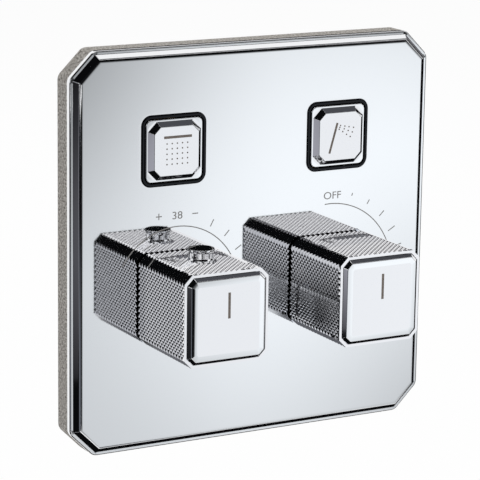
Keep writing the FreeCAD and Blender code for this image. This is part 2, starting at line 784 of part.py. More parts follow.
def make_cartridge_nut(name, x):
    nut = sub_part(new_body(f"{name}_nut"))
    slab(nut, hexagon("nut_width"), "-socket_face", "nut_head - socket_face")
    turn(nut, "XY_Plane", ring_points("neck_r + free_gap", "nut_thread_r - fit_gap", "socket_face", "nut_seat"))
    turn(nut, "XY_Plane", ring_points("0", "neck_r + free_gap", "socket_face - nut_head", "nut_seat"), "Groove")
    place(nut, x=x, z="-knob_drop")


def make_thermostat():
    x, z = "-knob_x", "-knob_drop"
    first_ring = "mixed_line + hot_step / 2"
    second_ring = "hot_line + cold_step / 2"
    housing = turned("thermostat_housing", [
        *cartridge_front(), *water_zone("mixed_line"), *ring_groove(first_ring),
        *water_zone("hot_line"), *ring_groove(second_ring), *water_zone("cold_line"),
        ("cartridge_r", "thermo_end"), ("inner_bore", "thermo_end"), ("inner_bore", "0"),
        ("spindle_r + fit_gap", "0")], x, z)
    drill_windows(housing, ("mixed_line", "hot_line", "cold_line"))
    ring_middle = "socket_bore - ring_r - ring_squeeze"
    group("thermostat_o_rings", [seal_ring(f"thermostat_ring_{index}", ring_middle, "ring_r", x, line, z)
                                 for index, line in enumerate((first_ring, second_ring))])
    turned("temperature_spindle", [
        ("0", "-spindle_front"), ("spindle_r", "-spindle_front"), ("spindle_r", "thrust_gap"),
        ("collar_r", "thrust_gap"), ("collar_r", "thrust_end"), ("screw_r", "thrust_end"),
        ("screw_r", "screw_end"), ("0", "screw_end")], x, z)
    pusher_bore, pusher_floor = "screw_r + fit_gap", "pusher_end - pusher_floor"
    turned("regulating_pusher", [
        (pusher_bore, "pusher_start"), ("inner_bore - fit_gap", "pusher_start"),
        ("inner_bore - fit_gap", "pusher_end"), ("0", "pusher_end"), ("0", pusher_floor),
        (pusher_bore, pusher_floor)], x, z)
    wax_end, flange_start = "wax_start + wax_length", "web_start - wax_flange"
    turned("wax_element", [
        ("0", "pusher_end"), ("wax_pin_r", "pusher_end"), ("wax_pin_r", "wax_start"), ("wax_r", "wax_start"),
        ("wax_r", flange_start), ("wax_flange_r", flange_start), ("wax_flange_r", "web_start"),
        ("wax_r", "web_start"), ("wax_r", wax_end), ("0", wax_end)], x, z)
    rim = "inner_bore - fit_gap"
    spool = turned("regulating_spool", [
        ("wax_r + fit_gap", "web_start"), (f"{rim} - spool_rim", "web_start"),
        (f"{rim} - spool_rim", "spool_start"), (rim, "spool_start"), (rim, "spool_end"),
        (f"{rim} - spool_rim", "spool_end"), (f"{rim} - spool_rim", "web_end"),
        ("wax_r + fit_gap", "web_end")], x, z)
    water_holes = new_sketch(spool, "XZ_Plane")
    hole_circle = f"(wax_r + {rim} - spool_rim) / 2"
    for across, along in ((hole_circle, "0"), ("0", hole_circle), (f"-{hole_circle}", "0"),
                          ("0", f"-{hole_circle}")):
        add_circle(water_holes, across, along, "spool_hole_r")
    drill(spool, water_holes)
    turned("thermostat_return_spring", ring_points(
        "return_spring_r - spring_wall", "return_spring_r", "web_end", "thermo_end"), x, z)


def disc_port(sketch, sign):
    """A kidney-like opening of the ceramic discs, above or below the middle."""
    corners = (("port_inner", "-port_deg"), ("port_outer", "-port_deg"), ("port_outer", "0"),
               ("port_outer", "port_deg"), ("port_inner", "port_deg"))
    add_polygon(sketch, [(f"{radius} * sin({angle})", f"{sign}({radius}) * cos({angle})")
                         for radius, angle in corners])


def make_flow_cartridge():
    x, z = "knob_x", "-knob_drop"
    ring_line = "(mixed_line + relief_half + flow_end) / 2"
    housing = turned("flow_housing", [
        *cartridge_front(), *water_zone("mixed_line"), *ring_groove(ring_line), ("cartridge_r", "flow_end"),
        ("disc_bore", "flow_end"), ("disc_bore", "driver_start - free_gap"),
        ("inner_bore", "driver_start - free_gap"), ("inner_bore", "0"), ("spindle_r + fit_gap", "0")], x, z)
    drill_windows(housing, ("mixed_line",))
    sub_part(seal_ring("flow_o_ring", "socket_bore - ring_r - ring_squeeze", "ring_r", x, ring_line, z))
    turned("flow_spindle", [
        ("0", "-spindle_front"), ("spindle_r", "-spindle_front"), ("spindle_r", "thrust_gap"),
        ("collar_r", "thrust_gap"), ("collar_r", "thrust_end"), ("spindle_r", "thrust_end"),
        ("spindle_r", "driver_start"), ("disc_bore - free_gap", "driver_start"),
        ("disc_bore - free_gap", "driver_end"), ("0", "driver_end")], x, z)
    moving = turned("flow_moving_disc", ring_points("0", "disc_bore - free_gap", "driver_end", "disc_end"), x, z)
    opening = new_sketch(moving, "XZ_Plane", "-disc_end")
    disc_port(opening, "")
    pocket(moving, opening, "disc_thick / 2", backwards=True)
    fixed = turned("flow_fixed_disc", ring_points("0", "disc_bore - fit_gap", "seat_start", "seat_end"), x, z)
    ports = new_sketch(fixed, "XZ_Plane")
    disc_port(ports, "-")
    drill(fixed, ports)
    turned("flow_seat_seal", ring_points(
        "disc_bore - fit_gap - seal_band", "disc_bore - fit_gap", "seat_end", "flow_end"), x, z)


# Valve body behind the wall

def make_valve_body():
    low = "-knob_drop"
    screw_places = [("-button_x", "boss_z", "outlet_line"), ("button_x", "boss_z", "outlet_line"),
                    ("0", low, "mixed_line")]
    walls = [
        rod("thermo_socket", "y", "socket_r", "thermo_end + socket_wall - socket_face",
            "-knob_x", "socket_face", low),
        rod("flow_socket", "y", "socket_r", "sump_end + socket_wall - socket_face", "knob_x", "socket_face", low),
        rod("mixed_gallery", "x", "gallery_r", "2 * knob_x", "-knob_x", "mixed_line", low),
        rod("cold_gallery", "x", "gallery_r", "2 * knob_x", "-knob_x", "cold_line", low),
        rod("outlet_gallery", "x", "gallery_r", "2 * button_x", "-button_x", "outlet_line", "button_rise"),
        rod("hot_boss", "z", "port_boss_r", "inlet_boss", "-knob_x", "hot_line", "-inlet_face"),
        rod("cold_boss", "z", "port_boss_r", "inlet_boss + gallery_r", "knob_x", "cold_line", "-inlet_face"),
    ]
    channels = [
        rod("thermo_bore", "y", "socket_bore", "thermo_end - socket_face", "-knob_x", "socket_face", low),
        rod("flow_bore", "y", "socket_bore", "flow_end - socket_face", "knob_x", "socket_face", low),
        rod("flow_sump_bore", "y", "sump_r", "sump_end - socket_face", "knob_x", "socket_face", low),
        rod("mixed_channel", "x", "gallery_bore", "2 * knob_x", "-knob_x", "mixed_line", low),
        rod("cold_channel", "x", "gallery_bore", "2 * knob_x", "-knob_x", "cold_line", low),
        rod("outlet_channel", "x", "gallery_bore", "2 * button_x", "-button_x", "outlet_line", "button_rise"),
        rod("riser_channel", "z", "riser_bore", "button_rise + knob_drop - sump_r / 2",
            "button_x", "outlet_line", "-knob_drop + sump_r / 2"),
        rod("hot_channel", "z", "union_through", "inlet_boss", "-knob_x", "hot_line", "-inlet_face"),
        rod("cold_channel_up", "z", "union_through", "inlet_boss", "knob_x", "cold_line", "-inlet_face"),
    ]
    for index, (side, line) in enumerate((("-", "hot_line"), ("", "cold_line"))):
        channels.append(rod(f"inlet_seat_{index}", "z", "union_spigot_r + fit_gap", "union_spigot + fit_gap",
                            f"{side}knob_x", line, "-inlet_face"))
    for index, side in enumerate((LEFT, RIGHT)):
        x, knob = f"{side}button_x", f"{side}knob_x"
        walls.append(rod(f"riser_{index}", "z", "riser_r", "button_rise + knob_drop", x, "outlet_line", low))
        walls.append(rod(f"push_socket_{index}", "y", "push_socket_r", "push_depth + socket_wall",
                         x, "socket_face", "button_rise"))
        walls.append(rod(f"outlet_boss_{index}", "z", "port_boss_r", "outlet_boss", x, "push_line", "button_rise"))
        channels.append(rod(f"push_bore_{index}", "y", "push_bore", "push_depth", x, "socket_face", "button_rise"))
        channels.append(rod(f"outlet_hole_{index}", "z", "union_through", "outlet_boss",
                            x, "push_line", "button_rise"))
        channels.append(rod(f"outlet_seat_{index}", "z", "union_spigot_r + fit_gap", "union_spigot + fit_gap",
                            x, "push_line", "outlet_face - union_spigot - fit_gap"))
        channels.append(rod(f"nut_thread_{index}", "y", "nut_thread_r", "nut_thread", knob, "socket_face", low))
    for index, (x, z, depth) in enumerate(screw_places):
        walls.append(rod(f"screw_boss_{index}", "y", "boss_r", depth, x, "0", z))
        channels.append(rod(f"screw_bore_{index}", "y", "screw_shank + fit_gap", "screw_depth", x, "0", z))
    casting = doc.addObject("Part::MultiFuse", "casting")
    casting.Shapes = walls
    casting.Refine = True
    cavity = doc.addObject("Part::MultiFuse", "cavity")
    cavity.Shapes = channels
    body = sub_part(doc.addObject("Part::Cut", "valve_body"))
    body.Base = casting
    body.Tool = cavity
    body.Refine = True

    screws = []
    for index, (x, z, _) in enumerate(screw_places):
        screw = new_body(f"wall_screw_{index}")
        turn(screw, "XY_Plane", [
            ("0", "-fixing_thick - screw_head"), ("screw_head_r", "-fixing_thick - screw_head"),
            ("screw_head_r", "-fixing_thick"), ("screw_shank", "-fixing_thick"),
            ("screw_shank", "screw_depth - thrust_gap"), ("0", "screw_depth - thrust_gap")])
        screws.append(place(screw, x=x, z=z))
    group("wall_plate_screws", screws)

    plate = sub_part(new_body("wall_plate"))
    slab(plate, octagon("fixing_half", "fixing_cut"), "0", "fixing_thick")
    holes = new_sketch(plate, "XZ_Plane")
    for side in (LEFT, RIGHT):
        add_circle(holes, f"{side}knob_x", low, "knob_window")
        add_circle(holes, f"{side}button_x", "button_rise", "button_window")
        for level in (LEFT, RIGHT):
            add_circle(holes, f"{side}fixing_place", f"{level}fixing_place", "fixing_hole")
    for x, z, _ in screw_places:
        add_circle(holes, x, z, "screw_hole")
    drill(plate, holes)


def make_union(label, x, y, face, way):
    """A hexagon pipe union: a spigot in the valve and a G1/2 socket facing up or down."""
    union = sub_part(new_body(label))
    base = "0" if way == UP else "-union_length"
    sketch = add_polygon(new_sketch(union, "XY_Plane", base), hexagon("union_hex"))
    pad(union, sketch, "union_length")

    def along(text):
        return text if way == UP else f"-({text})"
    turn(union, "XZ_Plane", ring_points("0", "union_spigot_r", along("-union_spigot"), along("0")))
    turn(union, "XZ_Plane", [
        ("0", along("-union_spigot")), ("union_through", along("-union_spigot")),
        ("union_through", along("union_length - union_socket")),
        ("union_bore", along("union_length - union_socket")), ("union_bore", along("union_length")),
        ("0", along("union_length"))], "Groove")
    place(union, x=x, y=y, z=face)


def make_inlet_fittings():
    """A check valve inside each inlet's spigot and a domed strainer just below it."""
    valves, strainers = [], []
    for index, (x, y) in enumerate((("-knob_x", "hot_line"), ("knob_x", "cold_line"))):
        outer = "union_through - fit_gap"
        top, low = "union_spigot - thrust_gap", "union_spigot - thrust_gap - check_length"
        valve = new_body(f"check_valve_{index}")
        turn(valve, "XZ_Plane", [
            ("0", top), (f"{outer} - check_wall - check_nose", top), (f"{outer} - check_wall", f"{top} - check_nose"),
            (outer, f"{top} - check_nose"), (outer, low), (f"{outer} - check_wall", low),
            (f"{outer} - check_wall", f"{low} + check_nose"), ("0", f"{low} + check_nose")])
        valves.append(place(valve, x=x, y=y, z="-inlet_face"))
        floor, rim = "-(union_length - union_socket)", "union_through - fit_gap"
        crown, rise = f"{rim} - strainer_slope", f"{floor} + strainer_dome"
        strainer = new_body(f"strainer_{index}")
        turn(strainer, "XZ_Plane", [
            ("0", f"{rise} - strainer_thick"), (crown, f"{rise} - strainer_thick"), (rim, floor),
            (rim, f"{floor} + strainer_thick"), (crown, rise), ("0", rise)])
        strainers.append(place(strainer, x=x, y=y, z="-inlet_face"))
    group("inlet_check_valves", valves)
    group("inlet_strainers", strainers)


make_face_plate()
make_foam_gasket()
for knob_name, knob_place, has_button, stop_angles in (
        ("temperature", "-knob_x", True, (("hot_deg", ""), ("cold_deg", "-"))),
        ("flow", "knob_x", False, (("0", ""), ("flow_deg", "-")))):
    make_knob(knob_name, knob_place, has_button)
    make_stop_ring(knob_name, knob_place, stop_angles)
    make_clamp_sleeve(knob_name, knob_place)
make_safety_button()
for cartridge_name, cartridge_place in (("thermostat", "-knob_x"), ("flow", "knob_x")):
    make_cartridge_nut(cartridge_name, cartridge_place)
make_thermostat()
make_flow_cartridge()
for button_name, button_place in (("rain", "-button_x"), ("hand", "button_x")):
    make_push_button(button_name, button_place)
    make_push_housing(button_name, button_place)
group("sleeve_o_rings", [
    seal_ring(f"sleeve_ring_{index}", "sleeve_r + sleeve_seal_r", "sleeve_seal_r",
              f"{side}knob_x", "-skin_front + sleeve_seal_r", "-knob_drop")
    for index, side in enumerate((LEFT, RIGHT))])
group("push_o_rings", [
    seal_ring(f"push_ring_{index}", "push_bore - ring_r - ring_squeeze", "ring_r",
              f"{side}button_x", "socket_face + push_ring_step", "button_rise")
    for index, side in enumerate((LEFT, RIGHT))])
make_valve_body()
make_union("hot_inlet_union", "-knob_x", "hot_line", "-inlet_face", DOWN)
make_union("cold_inlet_union", "knob_x", "cold_line", "-inlet_face", DOWN)
make_union("rain_outlet_union", "-button_x", "push_line", "outlet_face", UP)
make_union("hand_outlet_union", "button_x", "push_line", "outlet_face", UP)
make_inlet_fittings()

doc.recompute()
failed = [item.Label for item in doc.Objects if {"Invalid", "Error"} & set(item.State)]
if failed:
    raise RuntimeError(f"these objects did not build: {failed}")
for piece in sub_parts:
    if piece.Shape.isNull() or not piece.Shape.isValid() or not piece.Shape.Solids:
        raise RuntimeError(f"{piece.Label} has no valid solid")
os.makedirs("parts", exist_ok=True)
for piece in sub_parts:
    piece.Shape.exportStep(os.path.join("parts", f"{piece.Label}.step"))
print(f"{len(sub_parts)} pieces written")
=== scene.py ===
import bpy
import bmesh
import math
from mathutils import Matrix, Vector


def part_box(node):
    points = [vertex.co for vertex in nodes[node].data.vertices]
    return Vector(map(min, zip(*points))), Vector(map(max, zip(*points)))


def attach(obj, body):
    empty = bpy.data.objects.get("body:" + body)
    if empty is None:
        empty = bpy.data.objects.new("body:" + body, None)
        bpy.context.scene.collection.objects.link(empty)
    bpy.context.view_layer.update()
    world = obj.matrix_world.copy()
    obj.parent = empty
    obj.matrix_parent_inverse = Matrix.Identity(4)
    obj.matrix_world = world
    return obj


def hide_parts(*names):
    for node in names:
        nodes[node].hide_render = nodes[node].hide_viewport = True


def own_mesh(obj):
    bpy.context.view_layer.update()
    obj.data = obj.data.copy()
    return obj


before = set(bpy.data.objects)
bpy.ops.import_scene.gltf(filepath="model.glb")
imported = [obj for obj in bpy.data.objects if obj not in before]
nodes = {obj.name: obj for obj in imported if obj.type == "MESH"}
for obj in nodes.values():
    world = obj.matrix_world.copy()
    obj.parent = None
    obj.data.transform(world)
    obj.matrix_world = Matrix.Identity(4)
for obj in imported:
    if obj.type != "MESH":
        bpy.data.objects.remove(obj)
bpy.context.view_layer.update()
mm = 0.001
weldDistance = 1e-7  # metres
sharpRadius = 0.01  # millimetres, the arc that stands for a sharp corner
print("frame loaded:", len(nodes), "nodes")


# small tools

def hexColour(code):
    channels = [int(code[i:i + 2], 16) / 255 for i in (1, 3, 5)]
    return (*[c / 12.92 if c <= 0.04045 else ((c + 0.055) / 1.055) ** 2.4 for c in channels], 1.0)


def addNode(tree, kind, settings=None, inputs=None, links=None):
    node = tree.nodes.new(kind)
    for key, value in (settings or {}).items():
        setattr(node, key, value)
    for key, value in (inputs or {}).items():
        node.inputs[key].default_value = value
    for key, source in (links or {}).items():
        tree.links.new(source, node.inputs[key])
    return node


def startMaterial(name):
    material = bpy.data.materials.new(name)
    material.use_nodes = True
    tree = material.node_tree
    tree.nodes.clear()
    return material, tree


def endMaterial(tree, shader):
    addNode(tree, "ShaderNodeOutputMaterial", links={"Surface": shader.outputs[0]})


def setRamp(ramp, stops):  # stops: (position, colour)
    for i, (position, colour) in enumerate(stops):
        ramp.elements[i].position = position
        ramp.elements[i].color = hexColour(colour)


def addObject(name, data):
    item = bpy.data.objects.new(name, data)
    bpy.context.scene.collection.objects.link(item)
    return item


def perMetre(sizeMm):  # noise scale that makes one feature this many millimetres wide
    return 1000.0 / sizeMm


def at(x, front, z):  # front is the distance from the wall towards the user
    return Vector((x, -front, z)) * mm


def roundCorners(corners, radii, steps, closed=True):
    # replaces each corner by an arc of the same number of points, whatever its radius
    points = []
    count = len(corners)
    for i, corner in enumerate(corners):
        here = Vector(corner)
        if not closed and i in (0, count - 1):
            points.append(here)
            continue
        toBefore = (Vector(corners[i - 1]) - here).normalized()
        toAfter = (Vector(corners[(i + 1) % count]) - here).normalized()
        half = toBefore.angle(toAfter) / 2
        radius = max(radii[i] if isinstance(radii, list) else radii, sharpRadius)
        centre = here + (toBefore + toAfter).normalized() * radius / math.sin(half)
        start = here + toBefore * radius / math.tan(half) - centre
        end = here + toAfter * radius / math.tan(half) - centre
        sweep = start.angle_signed(end)
        for step in range(steps + 1):
            turned = start.copy()
            turned.rotate(Matrix.Rotation(-sweep * step / steps, 2))
            points.append(centre + turned)
    return points


def octagon(half, cut, radius, steps):
    flat = half - cut
    corners = [(flat, -half), (half, -flat), (half, flat), (flat, half),
               (-flat, half), (-half, flat), (-half, -flat), (-flat, -half)]
    return roundCorners(corners, radius, steps)


def roundSquare(half, radius, steps=8):
    return roundCorners([(half, -half), (half, half), (-half, half), (-half, -half)], radius, steps)


def circle(radius, steps=48):
    return [Vector((math.cos(2 * math.pi * i / steps), math.sin(2 * math.pi * i / steps))) * radius
            for i in range(steps)]


def addLoop(bm, outline, front, spot=Vector()):
    return [bm.verts.new(at(spot.x + p[0], front, spot.z + p[1])) for p in outline]


def bridgeLoops(bm, loops, closed=False):
    pairs = list(zip(loops, loops[1:])) + ([(loops[-1], loops[0])] if closed else [])
    for one, two in pairs:
        for i in range(len(one)):
            j = (i + 1) % len(one)
            bm.faces.new((one[i], one[j], two[j], two[i]))


def fillBetween(bm, outer, holes):
    edges = []
    for ring in [outer, *holes]:
        for a, b in zip(ring, ring[1:] + ring[:1]):
            edges.append(bm.edges.get((a, b)) or bm.edges.new((a, b)))
    bmesh.ops.triangle_fill(bm, use_beauty=True, edges=edges)


def finishPiece(bm, name, material, body, replaced=(), sharpAngle=35, weighted=True):
    bmesh.ops.remove_doubles(bm, verts=bm.verts, dist=weldDistance)
    bmesh.ops.recalc_face_normals(bm, faces=bm.faces)
    mesh = bpy.data.meshes.new(name)
    bm.to_mesh(mesh)
    bm.free()
    for polygon in mesh.polygons:
        polygon.use_smooth = True
    mesh.set_sharp_from_angle(angle=math.radians(sharpAngle))
    piece = addObject(name, mesh)
    mesh.materials.append(material)
    if weighted:
        piece.modifiers.new("flat faces stay flat", "WEIGHTED_NORMAL").keep_sharp = True
    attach(piece, body)
    if replaced:
        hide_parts(*replaced)
    return piece


def lathe(bm, profile, centre, along, across, steps):
    # profile: (radius, distance along the axis), which starts and ends on the axis
    along, across = Vector(along), Vector(across)
    other = along.cross(across)
    rings = []
    for radius, distance in profile:
        if radius == 0:
            rings.append([bm.verts.new(centre + along * distance * mm)])
            continue
        ring = []
        for i in range(steps):
            turn = 2 * math.pi * i / steps
            spoke = across * math.cos(turn) + other * math.sin(turn)
            ring.append(bm.verts.new(centre + (along * distance + spoke * radius) * mm))
        rings.append(ring)
    for one, two in zip(rings, rings[1:]):
        for i in range(steps):
            j = (i + 1) % steps
            corners = [one[i % len(one)], one[j % len(one)], two[j % len(two)], two[i % len(two)]]
            bm.faces.new(list(dict.fromkeys(corners)))


def middle(node):
    low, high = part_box(node)
    return (low + high) / 2 / mm


# materials

def chromeMaterial(name, rough, colour, hazeMm=9):
    # bright chromium over polished brass: a cool mirror, only the wiping haze breaks it up; given a
    # near-black colour it paints the shade of the gap round each push button
    material, tree = startMaterial(name)
    place = addNode(tree, "ShaderNodeTexCoord").outputs["Object"]
    haze = addNode(tree, "ShaderNodeTexNoise", inputs={"Scale": perMetre(hazeMm), "Detail": 4.0},
                   links={"Vector": place})
    roughness = addNode(tree, "ShaderNodeMapRange", inputs={"To Min": rough[0], "To Max": rough[1]},
                        links={"Value": haze.outputs["Fac"]})
    shader = addNode(tree, "ShaderNodeBsdfPrincipled",
                     inputs={"Base Color": hexColour(colour), "Metallic": 1.0},
                     links={"Roughness": roughness.outputs["Result"]})
    endMaterial(tree, shader)
    return material


foamSet = {"cellMm": 1.3, "gritMm": 0.9, "stops": [(0.36, "#625d58"), (0.64, "#c9c5bf")], "bumpMm": 0.4,
           "bumpShare": 0.6, "rough": 0.95}


def foamMaterial():
    # closed-cell polyethylene foam, sliced from a block: burst cells give a matt, gritty grey
    s = foamSet
    material, tree = startMaterial("slicedPolyethyleneFoam")
    place = addNode(tree, "ShaderNodeTexCoord").outputs["Object"]
    cells = addNode(tree, "ShaderNodeTexVoronoi", inputs={"Scale": perMetre(s["cellMm"])},
                    links={"Vector": place})
    grit = addNode(tree, "ShaderNodeTexNoise",
                   inputs={"Scale": perMetre(s["gritMm"]), "Detail": 3.0, "Roughness": 0.6},
                   links={"Vector": place})
    tone = addNode(tree, "ShaderNodeValToRGB", links={"Fac": grit.outputs["Fac"]})
    setRamp(tone.color_ramp, s["stops"])
    relief = addNode(tree, "ShaderNodeMath", {"operation": "ADD"},
                     links={0: cells.outputs["Distance"], 1: grit.outputs["Fac"]})
    bump = addNode(tree, "ShaderNodeBump",
                   inputs={"Strength": s["bumpShare"], "Distance": s["bumpMm"] * mm},
                   links={"Height": relief.outputs[0]})
    shader = addNode(tree, "ShaderNodeBsdfPrincipled", inputs={"Roughness": s["rough"]},
                     links={"Base Color": tone.outputs["Color"], "Normal": bump.outputs["Normal"]})
    endMaterial(tree, shader)
    return material


def grainMaterial(name, dark, light, rough, grainMm, bumpMm, metallic=0.0, stretch=(1, 1, 1)):
    material, tree = startMaterial(name)
    place = addNode(tree, "ShaderNodeTexCoord").outputs["Object"]
    spread = addNode(tree, "ShaderNodeMapping", inputs={"Scale": stretch}, links={"Vector": place})
    grain = addNode(tree, "ShaderNodeTexNoise", inputs={"Scale": perMetre(grainMm), "Detail": 6.0},
                    links={"Vector": spread.outputs[0]})
    tone = addNode(tree, "ShaderNodeValToRGB", links={"Fac": grain.outputs["Fac"]})
    setRamp(tone.color_ramp, [(0.3, dark), (0.7, light)])
    roughness = addNode(tree, "ShaderNodeMapRange", inputs={"To Min": rough[0], "To Max": rough[1]},
                        links={"Value": grain.outputs["Fac"]})
    bump = addNode(tree, "ShaderNodeBump", inputs={"Strength": 0.5, "Distance": bumpMm * mm},
                   links={"Height": grain.outputs["Fac"]})
    shader = addNode(tree, "ShaderNodeBsdfPrincipled", inputs={"Metallic": metallic},
                     links={"Base Color": tone.outputs["Color"], "Roughness": roughness.outputs["Result"],
                            "Normal": bump.outputs["Normal"]})
    endMaterial(tree, shader)
    return material


polishedChrome = chromeMaterial("polishedChromePlate", (0.03, 0.06), "#f1f2f4")
brightChrome = chromeMaterial("buffedChromePlate", (0.02, 0.05), "#f3f4f6")
knurlChrome = chromeMaterial("knurledChromePlate", (0.04, 0.07), "#f3f3f5")
gapShadePlating = chromeMaterial("darkPlatingPaintedGapShade", (0.1, 0.16), "#26272a")  # painted shade: an all but black plating, so that the collar stands in for the shaded gap round each push button
slicedFoam = foamMaterial()
# pad-printed epoxy ink: thin, warm dark grey, a little uneven
printedInk = grainMaterial("padPrintedInk", "#625a54", "#756c65", rough=(0.5, 0.65), grainMm=0.8,
                           bumpMm=0.005)
thinInk = grainMaterial("thinPrintedInk", "#807e7d", "#8f8d8b", rough=(0.5, 0.65), grainMm=0.8,
                        bumpMm=0.005)
# sand-cast brass, shot-blasted: dull yellow with a fine pitted skin
castBrass = grainMaterial("sandCastBrass", "#8f7440", "#b89a5c", rough=(0.38, 0.55), grainMm=0.9,
                          bumpMm=0.12, metallic=1.0)
# turned brass bar: brighter, faint lathe lines round the axis
turnedBrass = grainMaterial("turnedBrass", "#b8944c", "#d2b068", rough=(0.2, 0.32), grainMm=0.5,
                            bumpMm=0.02, metallic=1.0, stretch=(1, 6, 1))
# cold-rolled stainless sheet: grey with drawn-out rolling lines
rolledSteel = grainMaterial("coldRolledStainless", "#8e9092", "#b3b5b7", rough=(0.25, 0.4), grainMm=1.2,
                            bumpMm=0.02, metallic=1.0, stretch=(0.15, 1, 3))
# drawn spring and screw steel: smooth, grey, zinc bright
drawnSteel = grainMaterial("zincPlatedSteel", "#a2a4a6", "#c2c3c5", rough=(0.2, 0.35), grainMm=0.8,
                           bumpMm=0.01, metallic=1.0)
# moulded acetal: milky, matt from the mould's spark finish
mouldedAcetal = grainMaterial("mouldedAcetal", "#d3d2cc", "#e2e1dc", rough=(0.4, 0.55), grainMm=0.4,
                              bumpMm=0.02)
# compression-moulded EPDM: black, dull, slightly dusty
mouldedRubber = grainMaterial("mouldedEpdm", "#121212", "#1f1f1f", rough=(0.55, 0.75), grainMm=0.5,
                              bumpMm=0.02)
# lapped alumina: dense cream white with a soft shine
lappedAlumina = grainMaterial("lappedAlumina", "#e0ddd3", "#edebe4", rough=(0.15, 0.25), grainMm=0.6,
                              bumpMm=0.004)
# drawn copper cup of the wax element: warm, lightly tarnished
drawnCopper = grainMaterial("drawnCopper", "#9a5b3c", "#c07c55", rough=(0.25, 0.4), grainMm=2.0,
                            bumpMm=0.01, metallic=1.0)
print("materials made")

nodeFinishes = {
    castBrass: ["valve_body"],
    turnedBrass: ["hot_inlet_union", "cold_inlet_union", "rain_outlet_union", "hand_outlet_union",
                  "thermostat_housing", "flow_housing", "thermostat_nut", "flow_nut", "temperature_spindle",
                  "flow_spindle", "rain_push_housing", "hand_push_housing", "rain_button_plunger",
                  "hand_button_plunger"],
    rolledSteel: ["wall_plate"],
    drawnSteel: ["wall_plate_screws", "temperature_grub_screw", "flow_grub_screw", "thermostat_return_spring",
                 "inlet_strainers"],
    mouldedAcetal: ["temperature_knob_hub", "flow_knob_hub", "temperature_stop_ring", "flow_stop_ring",
                    "regulating_pusher", "regulating_spool", "inlet_check_valves"],
    mouldedRubber: ["sleeve_o_rings", "thermostat_o_rings", "flow_o_ring", "push_o_rings", "rain_valve_seal",
                    "hand_valve_seal", "flow_seat_seal"],
    lappedAlumina: ["flow_moving_disc", "flow_fixed_disc"],
    drawnCopper: ["wax_element"],
    polishedChrome: ["temperature_clamp_sleeve", "flow_clamp_sleeve"],
}
for finish, names in nodeFinishes.items():
    for name in names:
        mesh = nodes[name].data
        mesh.materials.clear()
        mesh.materials.append(finish)


# face plate and gasket

plateSet = {
    "half": 90.0, "cut": 11.5, "back": 10.0, "ledgeFront": 12.5, "faceFront": 15.2, "recessFront": 12.2,
    "edgeRound": 0.6, "ledge": 1.6, "cove": 0.2, "bevel": 1.9, "faceRound": 1.2, "softSlope": 0.05,
    "softRun": 1.3, "softRound": 22.0, "flatRun": 3.0, "cornerRound": 4.5, "innerRound": 0.5, "band": 12.0,
    "sleeveHole": 15.3, "collarHole": 15.85, "collarRound": 4.7, "holeRound": 0.12, "holeRun": 2.0,
    "gasketRound": 0.6, "gasketRun": 3.0,
}
cornerShare = 2 - math.sqrt(2)  # what a cut corner loses for each millimetre that the outline moves in
knobs = {"temperature": middle("temperature_knob_sleeve"), "flow": middle("flow_knob_sleeve")}
buttons = {"rain": middle("rain_button_cap"), "hand": middle("hand_button_cap")}


def plateOutline(inset, radius):
    return octagon(plateSet["half"] - inset, plateSet["cut"] - cornerShare * inset, radius, steps=5)


def makeFacePlate():
    s = plateSet
    bm = bmesh.new()
    top = s["ledge"] + s["bevel"]
    slopeEnd = top + s["softRun"]
    profile = roundCorners([(0, s["back"]), (0, s["ledgeFront"]), (s["ledge"], s["ledgeFront"]),
                            (top, s["faceFront"] - s["softSlope"] * s["softRun"]), (slopeEnd, s["faceFront"]),
                            (slopeEnd + s["flatRun"], s["faceFront"])],
                           [0, s["edgeRound"], s["cove"], s["faceRound"], s["softRound"], 0],
                           steps=6, closed=False)
    loops = [addLoop(bm, plateOutline(s["band"], s["innerRound"]), front)
             for front in (s["recessFront"], s["back"])]
    for inset, front in profile:
        radius = s["cornerRound"] - inset if inset <= s["ledge"] else s["innerRound"]
        loops.append(addLoop(bm, plateOutline(inset, radius), front))
    bridgeLoops(bm, loops)
    openings = [[addLoop(bm, circle(s["sleeveHole"]), front, spot)
                 for front in (s["faceFront"], s["recessFront"])] for spot in knobs.values()]
    edge = roundCorners([(s["holeRun"], s["faceFront"]), (0, s["faceFront"]), (0, s["recessFront"])],
                        s["holeRound"], steps=4, closed=False)[1:]
    for spot in buttons.values():
        rings = []
        for grow, front in edge:
            outline = roundSquare(s["collarHole"] + grow, s["collarRound"] + grow)
            rings.append(addLoop(bm, outline, front, spot))
        openings.append(rings)
    fillBetween(bm, loops[-1], [rings[0] for rings in openings])
    fillBetween(bm, loops[0], [rings[-1] for rings in openings])
    for rings in openings:
        bridgeLoops(bm, rings)
    finishPiece(bm, "facePlate", polishedChrome, "valve", ["face_plate"])


def makeGasket():
    s = plateSet
    bm = bmesh.new()
    outside = roundCorners([(s["gasketRun"], 0), (0, 0), (0, s["back"]), (s["gasketRun"], s["back"])],
                           s["gasketRound"], steps=3, closed=False)[1:-1]
    loops = [addLoop(bm, plateOutline(s["band"], s["innerRound"]), front) for front in (s["back"], 0)]
    for inset, front in outside:
        loops.append(addLoop(bm, plateOutline(inset, s["cornerRound"] - inset), front))
    bridgeLoops(bm, loops, closed=True)
    finishPiece(bm, "foamGasket", slicedFoam, "valve", ["foam_gasket"])


makeFacePlate()
makeGasket()
print("plate and gasket made")


# push buttons

